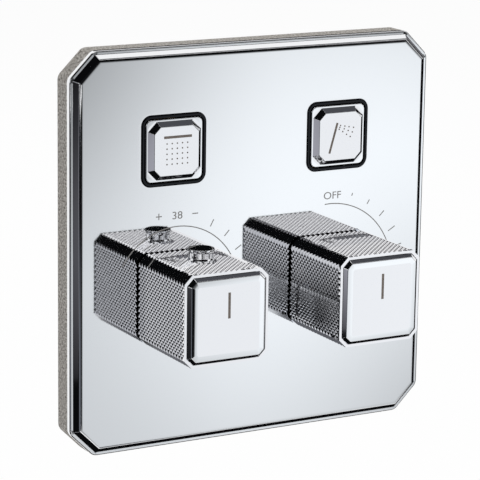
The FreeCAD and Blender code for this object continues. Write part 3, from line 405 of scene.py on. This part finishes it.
buttonSet = {
    "collarHalf": 15.7, "collarWall": 1.5, "collarRound": 4.55, "collarFront": 15.7, "collarBack": 12.2,
    "flange": 2.25, "flangeBack": 10.2, "collarEdge": 0.42, "capHalf": 13.8, "capRound": 2.65,
    "capBack": 10.04, "stepFront": 15.8, "stepEdge": 0.35, "ledge": 0.9, "bevel": 2.1, "bevelRound": 0.12,
    "faceFront": 18.1, "faceCut": 3.0, "faceEdge": 0.3, "faceRun": 1.0, "pocketHalf": 11.0,
    "pocketRound": 0.5, "pocketFront": 15.54, "bossR": 4.8, "holeR": 2.5, "holeFront": 13.59,
    "roundSteps": 32,
}


def makeCollar(name, spot):
    s = buttonSet
    bm = bmesh.new()
    profile = roundCorners([(s["collarWall"], s["flangeBack"]), (s["collarWall"], s["collarFront"]),
                            (0, s["collarFront"]), (0, s["collarBack"])],
                           [0, s["collarEdge"], s["collarEdge"], 0], steps=4, closed=False)
    profile += [(-s["flange"], s["collarBack"]), (-s["flange"], s["flangeBack"])]
    loops = [addLoop(bm, roundSquare(s["collarHalf"] - inset, s["collarRound"] - inset), front, spot)
             for inset, front in profile]
    bridgeLoops(bm, loops, closed=True)
    # the collar's near-black finish is painted shade for the gap round the button, which the collar fills
    finishPiece(bm, f"{name}ButtonCollar", gapShadePlating, "valve", [f"{name}_button_collar"])


def makeButtonCap(name, spot):
    s = buttonSet
    bm = bmesh.new()
    side = roundCorners([(0, s["capBack"]), (0, s["stepFront"]), (s["ledge"], s["stepFront"])],
                        s["stepEdge"], steps=4, closed=False)[:-1]
    loops = [addLoop(bm, roundSquare(s["capHalf"] - inset, s["capRound"] - inset), front, spot)
             for inset, front in side]
    bridgeLoops(bm, loops)
    baseHalf = s["capHalf"] - s["ledge"]
    baseCut = s["faceCut"] + cornerShare * s["bevel"]
    rise = roundCorners([(0, s["stepFront"]), (s["bevel"], s["faceFront"]),
                         (s["bevel"] + s["faceRun"], s["faceFront"])], s["faceEdge"], steps=3, closed=False)
    bevels = []
    for inset, front in rise:
        outline = octagon(baseHalf - inset, baseCut - cornerShare * inset, s["bevelRound"], steps=2)
        bevels.append(addLoop(bm, outline, front, spot))
    fillBetween(bm, loops[-1], [bevels[0]])
    bridgeLoops(bm, bevels)
    bm.faces.new(bevels[-1])
    pocket = [addLoop(bm, roundSquare(s["pocketHalf"], s["pocketRound"]), front, spot)
              for front in (s["capBack"], s["pocketFront"])]
    boss = [addLoop(bm, circle(s["bossR"], s["roundSteps"]), front, spot)
            for front in (s["pocketFront"], s["capBack"])]
    hole = [addLoop(bm, circle(s["holeR"], s["roundSteps"]), front, spot)
            for front in (s["capBack"], s["holeFront"])]
    fillBetween(bm, loops[0], [pocket[0]])
    fillBetween(bm, pocket[1], [boss[0]])
    for pair in (pocket, boss, hole):
        bridgeLoops(bm, pair)
    bridgeLoops(bm, [boss[1], hole[0]])
    bm.faces.new(hole[1])
    finishPiece(bm, f"{name}ButtonCap", brightChrome, f"{name}_button", [f"{name}_button_cap"], sharpAngle=25)


for name, spot in buttons.items():
    makeCollar(name, spot)
    makeButtonCap(name, spot)
print("push buttons made")


# knobs

knobSet = {
    "half": 20.5, "cut": 4.0, "back": 16.5, "front": 59.5, "seatFront": 56.5, "rim": 1.4, "wall": 2.6,
    "across": 13, "along": 17, "depth": 0.6, "ringDrop": 0.25, "seam": 0.25, "seamRound": 0.6,
    "capBevel": 1.25, "capRise": 1.76, "capEdge": 0.15, "capRound": 0.5, "capFlat": 1.2, "capTaper": 6.0,
    "softSlope": 0.08, "softRun": 2.0, "softRound": 24.0, "safetyFront": 35.8, "safetyHole": 5.85,
    "grubFront": 45.0, "grubHole": 2.4, "drillPast": 2.0, "drillSteps": 40,
}


def knobOutline(inset, radius, steps):
    return octagon(knobSet["half"] - inset, knobSet["cut"] - cornerShare * inset, radius, steps)


def knurlSide(bm, quarter, spot):
    # crossed grooves leave a field of small pyramids, up to the plain front ring
    s = knobSet
    flat = s["half"] - s["cut"]
    columns, rows = 2 * s["across"], 2 * s["along"]
    spin = Matrix.Rotation(quarter * math.pi / 2, 2)
    grid = []
    for i in range(columns + 1):
        line = []
        for j in range(rows + 1):
            drop = s["ringDrop"] if j == rows else s["depth"] if (i + j) % 2 == 0 else 0
            reach = flat + drop if i in (0, columns) else flat  # the outer grooves run out on the chamfers
            across = spin @ Vector((s["half"] - drop, reach * (2 * i / columns - 1)))
            front = s["back"] + (s["front"] - s["back"]) * j / rows
            line.append(bm.verts.new(at(spot.x + across.x, front, spot.z + across.y)))
        grid.append(line)
    for i in range(columns):
        for j in range(rows):
            a, b, c, d = grid[i][j], grid[i + 1][j], grid[i + 1][j + 1], grid[i][j + 1]
            if (i + j) % 2 == 0:  # the low corners are a and c
                bm.faces.new((a, b, c))
                bm.faces.new((a, c, d))
            else:
                bm.faces.new((a, b, d))
                bm.faces.new((b, c, d))
    return grid


def cutHole(piece, centre, direction, radius):
    # drills a round hole through one wall of a knob
    s = knobSet
    depth = s["half"] + s["drillPast"]
    bm = bmesh.new()
    lathe(bm, [(0, 0), (radius, 0), (radius, depth), (0, depth)], centre, direction, (1, 0, 0),
          s["drillSteps"])
    bmesh.ops.recalc_face_normals(bm, faces=bm.faces)
    cutterMesh = bpy.data.meshes.new("drill")
    bm.to_mesh(cutterMesh)
    bm.free()
    cutter = addObject("drill", cutterMesh)
    step = piece.modifiers.new("drilled hole", "BOOLEAN")
    step.object = cutter
    step.solver = "EXACT"
    shape = bpy.data.meshes.new_from_object(piece.evaluated_get(bpy.context.evaluated_depsgraph_get()))
    old = piece.data
    piece.modifiers.remove(step)
    piece.data = shape
    bpy.data.meshes.remove(old)
    bpy.data.objects.remove(cutter)
    bpy.data.meshes.remove(cutterMesh)


def makeSleeve(name, spot):
    s = knobSet
    bm = bmesh.new()
    sides = [knurlSide(bm, quarter, spot) for quarter in range(4)]
    for quarter in range(4):
        here, following = sides[quarter][-1], sides[(quarter + 1) % 4][0]
        for j in range(len(here) - 1):
            bm.faces.new((here[j], following[j], following[j + 1], here[j + 1]))
    backRim, frontRim = ([line[j] for grid in sides for line in grid] for j in (0, -1))
    seat = [addLoop(bm, knobOutline(s["rim"], s["seamRound"], steps=3), front, spot)
            for front in (s["front"], s["seatFront"])]
    inner = [addLoop(bm, knobOutline(s["wall"], s["seamRound"], steps=3), front, spot)
             for front in (s["seatFront"], s["back"])]
    fillBetween(bm, frontRim, [seat[0]])
    fillBetween(bm, backRim, [inner[1]])
    bridgeLoops(bm, seat)
    bridgeLoops(bm, [seat[1], inner[0], inner[1]])
    piece = finishPiece(bm, f"{name}KnobSleeve", knurlChrome, f"{name}_knob", [f"{name}_knob_sleeve"],
                        sharpAngle=12, weighted=False)
    cutHole(piece, at(spot.x, s["grubFront"], spot.z), (0, 0, -1), s["grubHole"])
    if name == "temperature":
        cutHole(piece, at(spot.x, s["safetyFront"], spot.z), (0, 0, 1), s["safetyHole"])


def makeKnobCap(name, spot):
    s = knobSet
    bm = bmesh.new()
    face = s["front"] + s["capRise"]
    slopeEnd = s["capBevel"] + s["softRun"]
    path = roundCorners([(0, s["seatFront"]), (0, s["front"]),
                         (s["capBevel"], face - s["softSlope"] * s["softRun"]), (slopeEnd, face),
                         (slopeEnd + s["capFlat"], face)],
                        [0, s["capEdge"], s["capRound"], s["softRound"], 0], steps=6, closed=False)
    loops = []
    for inset, front in path:
        radius = s["seamRound"] * (1 - inset / s["capTaper"])
        loops.append(addLoop(bm, knobOutline(s["rim"] + s["seam"] + inset, radius, steps=4), front, spot))
    bridgeLoops(bm, loops)
    bm.faces.new(loops[0])
    bm.faces.new(loops[-1])
    finishPiece(bm, f"{name}KnobCap", brightChrome, f"{name}_knob", [f"{name}_knob_cap"], sharpAngle=30)


safetySet = {
    "r": 5.8, "headR": 5.9, "top": 25.6, "edge": 0.25, "rim": 0.8, "waistR": 5.4, "waistTop": 24.0,
    "waistLow": 21.6, "footTop": 20.9, "flangeR": 7.0, "shoulder": 17.8, "flangeLow": 15.8, "stemR": 2.6,
    "stemLow": 13.1, "roundSteps": 64,
}


def makeSafetyButton():
    s = safetySet
    low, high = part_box("safety_button")
    centre = Vector(((low.x + high.x) / 2, (low.y + high.y) / 2, knobs["temperature"].z * mm))
    rim = roundCorners([(s["r"], s["shoulder"]), (s["r"], s["footTop"]), (s["waistR"], s["waistLow"]),
                        (s["waistR"], s["waistTop"]), (s["headR"], s["top"] - s["rim"]),
                        (s["headR"], s["top"]), (0, s["top"])], s["edge"], steps=5, closed=False)
    profile = [(0, s["stemLow"]), (s["stemR"], s["stemLow"]), (s["stemR"], s["flangeLow"]),
               (s["flangeR"], s["flangeLow"]), (s["flangeR"], s["shoulder"]), *[tuple(p) for p in rim]]
    bm = bmesh.new()
    lathe(bm, profile, centre, (0, 0, 1), (1, 0, 0), s["roundSteps"])
    finishPiece(bm, "safetyButton", brightChrome, "safety_button", ["safety_button"])


for name, spot in knobs.items():
    makeSleeve(name, spot)
    makeKnobCap(name, spot)
makeSafetyButton()
print("knobs made")


# springs behind the buttons

springSet = {"coils": 3, "closed": 1, "steps": 28, "sides": 10, "gap": 0.05}
springs = {
    "rainButtonSpring": {"node": "rain_button_spring", "body": "valve", "joint": "rain_press",
                         "along": (0, -1, 0), "travel": 3.0, "wire": 0.8},
    "handButtonSpring": {"node": "hand_button_spring", "body": "valve", "joint": "hand_press",
                         "along": (0, -1, 0), "travel": 3.0, "wire": 0.8},
    "safetyButtonSpring": {"node": "safety_button_spring", "body": "temperature_knob",
                           "joint": "safety_press", "along": (0, 0, 1), "travel": 2.5, "wire": 0.5},
}


def makeSpring(name, s):
    # wound wire with closed end coils, from its seat to the button
    low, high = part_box(s["node"])
    along, across = Vector(s["along"]), Vector((1, 0, 0))
    other = along.cross(across)
    length = abs((high - low).dot(along))
    seat = (low + high) / 2 - along * length / 2
    wire, gap = s["wire"] * mm, springSet["gap"] * mm
    radius = (high.x - low.x - wire) / 2
    coils, closed, steps, sides = (springSet[key] for key in ("coils", "closed", "steps", "sides"))
    turns = coils + 2 * closed
    rise = length - wire - gap
    bm = bmesh.new()
    rings = []
    for i in range(turns * steps + 1):
        turn = i / steps
        if turn < closed:
            height = wire * turn
        elif turn > turns - closed:
            height = rise - wire * (turns - turn)
        else:
            height = wire * closed + (rise - 2 * wire * closed) * (turn - closed) / coils
        spoke = across * math.cos(2 * math.pi * turn) + other * math.sin(2 * math.pi * turn)
        core = seat + along * (wire / 2 + height) + spoke * radius
        ring = []
        for k in range(sides):
            angle = 2 * math.pi * k / sides
            ring.append(bm.verts.new(core + (spoke * math.cos(angle) + along * math.sin(angle)) * wire / 2))
        rings.append(ring)
    bridgeLoops(bm, rings)
    bm.faces.new(rings[0])
    bm.faces.new(rings[-1])
    piece = finishPiece(bm, name, drawnSteel, s["body"], [s["node"]], sharpAngle=60, weighted=False)
    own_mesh(piece)


for name, s in springs.items():
    makeSpring(name, s)
print("springs made")


# printed scales and signs, a film of ink on the chrome

inkSet = {"film": 0.03, "sink": 0.02, "line": 0.45, "arcSteps": 60, "dotSteps": 12, "capitals": 0.69,
          "widen": 1.12}  # capitals are 0.69 of the font's size


def addStrip(bm, points, width, front):
    # a flat line of ink through points, squared off at its ends
    points = [Vector(p) for p in points]
    left, right = [], []
    for i, point in enumerate(points):
        way = (points[min(i + 1, len(points) - 1)] - points[max(i - 1, 0)]).normalized()
        side = Vector((-way.y, way.x)) * width / 2
        left.append(point + side)
        right.append(point - side)
    tops = [addLoop(bm, row, front + inkSet["film"]) for row in (left, right)]
    lows = [addLoop(bm, row, front - inkSet["sink"]) for row in (left, right)]
    for i in range(len(points) - 1):
        for one, two in ((tops[0], tops[1]), (lows[0], lows[1]), (tops[0], lows[0]), (tops[1], lows[1])):
            bm.faces.new((one[i], one[i + 1], two[i + 1], two[i]))
    for i in (0, -1):
        bm.faces.new((tops[0][i], tops[1][i], lows[1][i], lows[0][i]))


def addDot(bm, x, z, radius, front):
    outline = [(x + p.x, z + p.y) for p in circle(radius, inkSet["dotSteps"])]
    rings = [addLoop(bm, outline, height) for height in (front - inkSet["sink"], front + inkSet["film"])]
    bridgeLoops(bm, rings)
    for ring in rings:
        bm.faces.new(ring)


def dial(spot, radius, degrees):  # degrees clockwise from the top
    turn = math.radians(degrees)
    return Vector((spot.x + radius * math.sin(turn), spot.z + radius * math.cos(turn)))


def dialArc(spot, s):
    steps = inkSet["arcSteps"]
    return [dial(spot, s["radius"], s["start"] + (s["end"] - s["start"]) * i / steps)
            for i in range(steps + 1)]


def printWords(name, s, front):
    film, sink = inkSet["film"], inkSet["sink"]
    curve = bpy.data.curves.new(name, "FONT")
    curve.body = s["words"]
    curve.size = s["height"] / inkSet["capitals"] * mm
    curve.align_x = "CENTER"
    curve.extrude = (film + sink) / 2 * mm
    holder = addObject(name + "Draft", curve)
    mesh = bpy.data.meshes.new_from_object(holder.evaluated_get(bpy.context.evaluated_depsgraph_get()))
    bpy.data.objects.remove(holder)
    mesh.transform(Matrix.Translation(at(s["wordsX"], front + (film - sink) / 2, s["wordsZ"]))
                   @ Matrix.Rotation(math.pi / 2, 4, "X") @ Matrix.Diagonal((inkSet["widen"], 1, 1, 1)))
    mesh.materials.clear()
    mesh.materials.append(thinInk)
    piece = addObject(name, mesh)
    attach(piece, "valve")


temperatureScale = {"shiftX": -0.8, "radius": 31.0, "start": -60, "end": 64, "ticks": (27.8, 42.9, 58.0),
                    "tickFrom": 33.2, "tickTo": 36.7, "words": "38", "wordsX": -39.35, "wordsZ": 13.95,
                    "height": 3.35, "plus": (-48.4, 15.7), "minus": (-30.55, 15.65), "sign": 1.45}
flowScale = {"radius": 34.0, "start": -4.4, "end": 84,
             "ticks": ((17.6, 38.45, 39.83), (31.85, 37.75, 40.1), (46.0, 37.1, 40.6), (60.0, 36.6, 40.75),
                       (73.2, 36.1, 40.8)),  # degrees, and where the line starts and ends
             "words": "OFF", "wordsX": 39.65, "wordsZ": 15.8, "height": 3.3}


def printTemperatureScale():
    s, spot = temperatureScale, knobs["temperature"]
    face, line = plateSet["faceFront"], inkSet["line"]
    bm = bmesh.new()
    addStrip(bm, dialArc(spot + Vector((s["shiftX"], 0, 0)), s), line, face)
    for degrees in s["ticks"]:
        addStrip(bm, [dial(spot, reach, degrees) for reach in (s["tickFrom"], s["tickTo"])], line, face)
    for x, z in (s["plus"], s["minus"]):
        addStrip(bm, [(x - s["sign"], z), (x + s["sign"], z)], line, face)
    x, z = s["plus"]
    for away in (-1, 1):  # the upright of the plus sign, in two halves that don't cross its bar
        addStrip(bm, [(x, z + away * line / 2), (x, z + away * s["sign"])], line, face)
    finishPiece(bm, "temperatureScale", thinInk, "valve", weighted=False)
    printWords("temperatureFigure", s, face)


def printFlowScale():
    s, spot = flowScale, knobs["flow"]
    face, line = plateSet["faceFront"], inkSet["line"]
    bm = bmesh.new()
    addStrip(bm, dialArc(spot, s), line, face)
    for degrees, inner, outer in s["ticks"]:
        addStrip(bm, [dial(spot, inner, degrees), dial(spot, outer, degrees)], line, face)
    finishPiece(bm, "flowScale", thinInk, "valve", weighted=False)
    printWords("flowWord", s, face)


markSet = {"width": 1.2, "low": 0.2, "high": 11.6, "shiftX": 0.4}
rainSign = {"bar": ((-47.6, 51.17), (-34.05, 51.17)), "barWidth": 1.15, "left": -46.15, "right": -36.1,
            "top": 48.37, "bottom": 39.27, "count": 5, "dot": 0.36}
handSign = {"bar": ((39.7, 51.17), (35.8, 37.42)), "barWidth": 1.05, "dot": 0.36,
            "drops": ((41.35, 49.87), (41.00, 49.02), (40.65, 48.17), (43.60, 49.42), (43.30, 48.17),
                      (42.55, 46.97), (45.80, 48.97), (45.40, 47.27), (44.60, 45.57), (48.20, 48.52),
                      (47.60, 46.42), (46.55, 44.42))}


def printMark(name, spot):
    s = markSet
    bm = bmesh.new()
    x = spot.x + s["shiftX"]
    addStrip(bm, [(x, spot.z + s["low"]), (x, spot.z + s["high"])], s["width"],
             knobSet["front"] + knobSet["capRise"])
    finishPiece(bm, f"{name}Mark", printedInk, f"{name}_knob", weighted=False)


def printSign(name, s, dots):
    face = buttonSet["faceFront"]
    bm = bmesh.new()
    addStrip(bm, s["bar"], s["barWidth"], face)
    for x, z in dots:
        addDot(bm, x, z, s["dot"], face)
    finishPiece(bm, f"{name}Sign", printedInk, f"{name}_button", weighted=False)


def rainDots():
    s = rainSign
    shares = [i / (s["count"] - 1) for i in range(s["count"])]
    width, height = s["right"] - s["left"], s["top"] - s["bottom"]
    return [(s["left"] + width * a, s["bottom"] + height * b) for a in shares for b in shares]


printTemperatureScale()
printFlowScale()
for name, spot in knobs.items():
    printMark(name, spot)
printSign("rain", rainSign, rainDots())
printSign("hand", handSign, handSign["drops"])
print("prints made")


# studio, in metres

def seenShare(tree):
    # 1 where it is seen, straight or in metal and glass, and 0 where it lights the part
    path = addNode(tree, "ShaderNodeLightPath")
    seen = addNode(tree, "ShaderNodeMath", {"operation": "ADD"},
                   links={0: path.outputs["Is Camera Ray"], 1: path.outputs["Is Glossy Ray"]})
    seen = addNode(tree, "ShaderNodeMath", {"operation": "ADD", "use_clamp": True},
                   links={0: seen.outputs[0], 1: path.outputs["Is Transmission Ray"]})
    return seen.outputs[0]


def stageMaterial(name, colour, whiteShare):
    # white to the eye and in reflections, but the rest of it still takes the shadow
    material, tree = startMaterial(name)
    share = addNode(tree, "ShaderNodeMath", {"operation": "MULTIPLY"}, {1: whiteShare}, {0: seenShare(tree)})
    matt = addNode(tree, "ShaderNodeBsdfDiffuse", inputs={"Color": hexColour(colour)})
    glow = addNode(tree, "ShaderNodeEmission", inputs={"Color": (1, 1, 1, 1), "Strength": 1.0})
    mix = addNode(tree, "ShaderNodeMixShader",
                  links={0: share.outputs[0], 1: matt.outputs[0], 2: glow.outputs[0]})
    endMaterial(tree, mix)
    return material


def cardMaterial(name, tint, base, spots, edges=()):
    # a studio card in soft tones: spots (centre, near, far, amount) add or take light around a point,
    # and edges (way, start, end) fade it out past a line
    material, tree = startMaterial(name)
    where = addNode(tree, "ShaderNodeNewGeometry").outputs["Position"]
    total = addNode(tree, "ShaderNodeValue").outputs[0]
    total.default_value = base
    fades = [("DISTANCE", centre, near, far, amount, "ADD") for centre, near, far, amount in spots]
    fades += [("DOT_PRODUCT", way, start, end, 1.0, "MULTIPLY") for way, start, end in edges]
    for measure, vector, start, end, amount, joining in fades:
        away = addNode(tree, "ShaderNodeVectorMath", {"operation": measure}, {1: vector}, {0: where})
        share = addNode(tree, "ShaderNodeMapRange", {"interpolation_type": "SMOOTHSTEP"},
                        {"From Min": start, "From Max": end, "To Min": amount, "To Max": 0.0},
                        {"Value": away.outputs["Value"]})
        total = addNode(tree, "ShaderNodeMath", {"operation": joining},
                        links={0: total, 1: share.outputs["Result"]}).outputs[0]
    glow = addNode(tree, "ShaderNodeEmission", inputs={"Color": hexColour(tint)}, links={"Strength": total})
    endMaterial(tree, glow)
    return material


def addCard(name, corners, material):
    # only reflections see it: it hides nothing from the camera and throws no light or shade
    mesh = bpy.data.meshes.new(name)
    mesh.from_pydata(corners, [], [range(len(corners))])
    card = addObject(name, mesh)
    mesh.materials.append(material)
    card.visible_camera = card.visible_diffuse = card.visible_shadow = False


def upright(x0, y0, x1, y1, low, high):
    return [(x0, y0, low), (x1, y1, low), (x1, y1, high), (x0, y0, high)]


def level(x0, y0, x1, y1, z):
    return [(x0, y0, z), (x1, y0, z), (x1, y1, z), (x0, y1, z)]


# camera at the photograph's angle, its distance and aim in millimetres
cameraSet = {"yaw": 29.0, "pitch": 13.128, "roll": 0.8625, "distance": 1079.66, "aim": (-7.809, 15.2, 1.329),
             "lens": 181.93, "sensor": 36.0}
yaw, pitch, roll = (math.radians(cameraSet[key]) for key in ("yaw", "pitch", "roll"))
back = Vector((-math.sin(yaw) * math.cos(pitch), -math.cos(yaw) * math.cos(pitch), math.sin(pitch)))
right = Vector((math.cos(yaw), -math.sin(yaw), 0))
up = back.cross(right)
right, up = right * math.cos(roll) + up * math.sin(roll), up * math.cos(roll) - right * math.sin(roll)
cameraData = bpy.data.cameras.new("camera")
cameraData.lens = cameraSet["lens"]
cameraData.sensor_width = cameraSet["sensor"]
camera = addObject("camera", cameraData)
cameraSpot = at(*cameraSet["aim"]) + back * cameraSet["distance"] * mm
camera.matrix_world = Matrix.Translation(cameraSpot) @ Matrix((right, up, back)).transposed().to_4x4()
bpy.context.scene.camera = camera
bpy.context.scene.view_settings.view_transform = "Standard"

studioSet = {"floorZ": -0.32, "floorSize": 12.0, "floorWhite": 0.95, "lowZ": -0.315, "stripZ": -0.313,
             "footZ": -0.31, "leftX": -0.95, "plateCardAway": 0.5, "faceCardAway": 0.2, "skyLight": 0.45}
lowZ, footZ, leftX = (studioSet[key] for key in ("lowZ", "footZ", "leftX"))
floorMesh = bpy.data.meshes.new("floor")
reach = studioSet["floorSize"] / 2
floorMesh.from_pydata(level(-reach, -reach, reach, reach, 0), [], [(0, 1, 2, 3)])
floor = addObject("floor", floorMesh)
floor.location = (0, 0, studioSet["floorZ"])
floorMesh.materials.append(stageMaterial("paleFloor", "#f4f4f4", studioSet["floorWhite"]))

# the card that the face plate mirrors: across and over count from its middle
mirrorWay = Vector((-back.x, back.y, -back.z))
across = mirrorWay.cross(Vector((0, 0, 1))).normalized()
over = across.cross(mirrorWay)
cardMiddle = at(0, plateSet["faceFront"], 0) + mirrorWay * studioSet["plateCardAway"]


def onCard(a, b):
    return cardMiddle + across * a + over * b


plateCardSet = {"left": -0.14, "right": 0.15, "low": -0.17, "high": 0.16, "fadeRight": 0.118,
                "fadeHigh": 0.128}
plateCard = cardMaterial(
    "softGradient", "#f7fbfe", 0.72,
    [(onCard(-0.075, 0.011), 0.04, 0.244, 0.39), (onCard(0.2, 0.166), 0.0, 0.237, -0.51),
     (onCard(-0.16, -0.102), 0.0, 0.185, -0.38)],
    [(across, *[across.dot(onCard(plateCardSet[key], 0)) for key in ("fadeRight", "right")]),
     (over, *[over.dot(onCard(0, plateCardSet[key])) for key in ("fadeHigh", "high")])])
whiteCard = cardMaterial("whiteCard", "#fafcff", 0.93, [(onCard(-0.1, 0.05), 0.05, 0.4, 0.12)])
blackFlag = cardMaterial(  # all but black, with soft glows for one knob's side and for other views
    "blackFlag", "#dfe6f5", 0.004,
    [((-0.4, -0.9, lowZ), 0.1, 0.7, 0.22), ((-0.5, -2.2, 0.1), 0.1, 0.8, 0.3),
     ((0.56, -0.5, lowZ), 0.05, 0.2, 0.07)])
greyFlag = cardMaterial("greyFlag", "#dfe2ee", 0.02, [((0.5, -0.25, 0.95), 0.0, 0.5, 0.1)])
leftGrey = cardMaterial("leftGrey", "#e6e6f2", 0.015, [((leftX, -0.43, -0.19), 0.05, 0.17, 0.45),
                                                       ((leftX, -0.17, -0.2), 0.0, 0.16, 0.12)])
paleFlag = cardMaterial("paleFlag", "#e6e4ea", 0.17, [((0.74, -0.6, 0.34), 0.0, 0.6, 0.06)])
sideCard = cardMaterial("sideCard", "#f6f8fd", 0.58, [((leftX, 0.1, 0.3), 0.0, 0.5, 0.12)])
dimFlag = cardMaterial("dimFlag", "#e6e8f2", 0.14, [((0.2, -0.52, lowZ), 0.0, 0.2, 0.02)])
stripCard = cardMaterial("stripCard", "#f4f6fb", 0.72, [], [(Vector((1, 0, 0)), -0.228, -0.192)])


def addMirrorCard(name, outline, front, spot):
    # a small white card just where a front face mirrors it
    corners = []
    for x, z in outline:
        corner = at(spot.x + x, front, spot.z + z)
        way = (corner - cameraSpot).normalized()
        corners.append(corner + Vector((way.x, -way.y, way.z)) * studioSet["faceCardAway"])
    addCard(name, corners, whiteCard)


sides = [("left", "low"), ("right", "low"), ("right", "high"), ("left", "high")]
addCard("gradientCard", [onCard(plateCardSet[a], plateCardSet[b]) for a, b in sides], plateCard)
for name, spot in knobs.items():
    addMirrorCard(f"{name}Card", knobOutline(0, 0, steps=1), knobSet["front"], spot)
for name, spot in buttons.items():
    addMirrorCard(f"{name}Card", roundSquare(buttonSet["collarHalf"], buttonSet["collarRound"], steps=4),
                  buttonSet["collarFront"], spot)

cards = {
    "frontFlag": (upright(-1.9, -2.2, 1.9, -2.2, footZ, 2.3), blackFlag),
    "rightFlag": (upright(1.1, -1.6, 1.1, 0.9, footZ, 0.1), blackFlag),
    "rightBackFlag": (upright(0.7, 1.15, 1.15, 0.7, footZ, 0.06), blackFlag),
    "leftFlag": (upright(leftX, -0.9, leftX, 0.1, footZ, 0.06), leftGrey),
    "lowLeftFlag": (level(-1.6, -2.1, -0.1, 0.3, lowZ), blackFlag),
    "lowRightFlag": (level(0.16, -0.25, 1.1, 0.3, lowZ), blackFlag),
    "lowFarFlag": (level(0.45, -0.72, 1.1, -0.25, lowZ), blackFlag),
    "lowMiddleFlag": (level(-0.1, -0.25, 0.16, 0.3, lowZ), blackFlag),
    "lowGreyFlag": (level(0.1, -0.64, 0.32, -0.4, lowZ), dimFlag),
    "lowBackFlag": (level(0.16, 0.3, 1.5, 1.6, lowZ), blackFlag),
    "backFlag": (upright(0.1, 0.6, 0.62, 0.6, 0.12, 0.36), blackFlag),
    "lowFrontFlag": (level(-0.1, -2.1, 1.5, -0.72, lowZ), blackFlag),
    "leftSideCard": (upright(leftX, -0.4, leftX, 0.35, 0.06, 0.392), sideCard),
    "leftHighFlag": (upright(leftX, -0.4, leftX, 0.35, 0.392, 1.3), greyFlag),
    "lowStripCard": (level(-0.258, -0.22, -0.18, 0.16, studioSet["stripZ"]), stripCard),
    "rightSideFlag": (upright(0.95, -0.3, 0.95, 0.5, 0.2, 0.65), blackFlag),
    "rightHighFlag": (upright(0.55, -0.85, 1.0, -0.35, 0.2, 0.52), paleFlag),
    "rightHighBackFlag": (upright(0.55, 0.82, 1.0, 0.32, 0.16, 0.52), paleFlag),
    "topLeftFlag": (level(-1.5, -1.2, -0.35, 0.35, 1.0), blackFlag),
    "topFlag": (level(0.05, -0.6, 1.1, 0.03, 0.95), greyFlag),
}
for name, (corners, material) in cards.items():
    addCard(name, corners, material)

lampSet = {
    "keyLamp": {"spot": (0.9, -1.2, 1.8), "size": 1.2, "power": 26},
    "fillLamp": {"spot": (-1.6, -1.4, 0.8), "size": 1.4, "power": 10},
    "backLamp": {"spot": (0.3, 1.8, 1.4), "size": 1.4, "power": 14},
}
for name, s in lampSet.items():
    light = bpy.data.lights.new(name, "AREA")
    light.size = s["size"]
    light.energy = s["power"]
    lamp = addObject(name, light)
    lamp.location = s["spot"]
    lamp.rotation_euler = (-Vector(s["spot"])).to_track_quat("-Z", "Y").to_euler()
    lamp.visible_glossy = False

world = bpy.data.worlds.new("studioWhite")
bpy.context.scene.world = world
world.use_nodes = True
tree = world.node_tree
tree.nodes.clear()
strength = addNode(tree, "ShaderNodeMapRange", inputs={"To Min": studioSet["skyLight"], "To Max": 1.0},
                   links={"Value": seenShare(tree)})
sky = addNode(tree, "ShaderNodeBackground", inputs={"Color": (1, 1, 1, 1)},
              links={"Strength": strength.outputs["Result"]})
addNode(tree, "ShaderNodeOutputWorld", links={"Surface": sky.outputs[0]})
print("studio made")
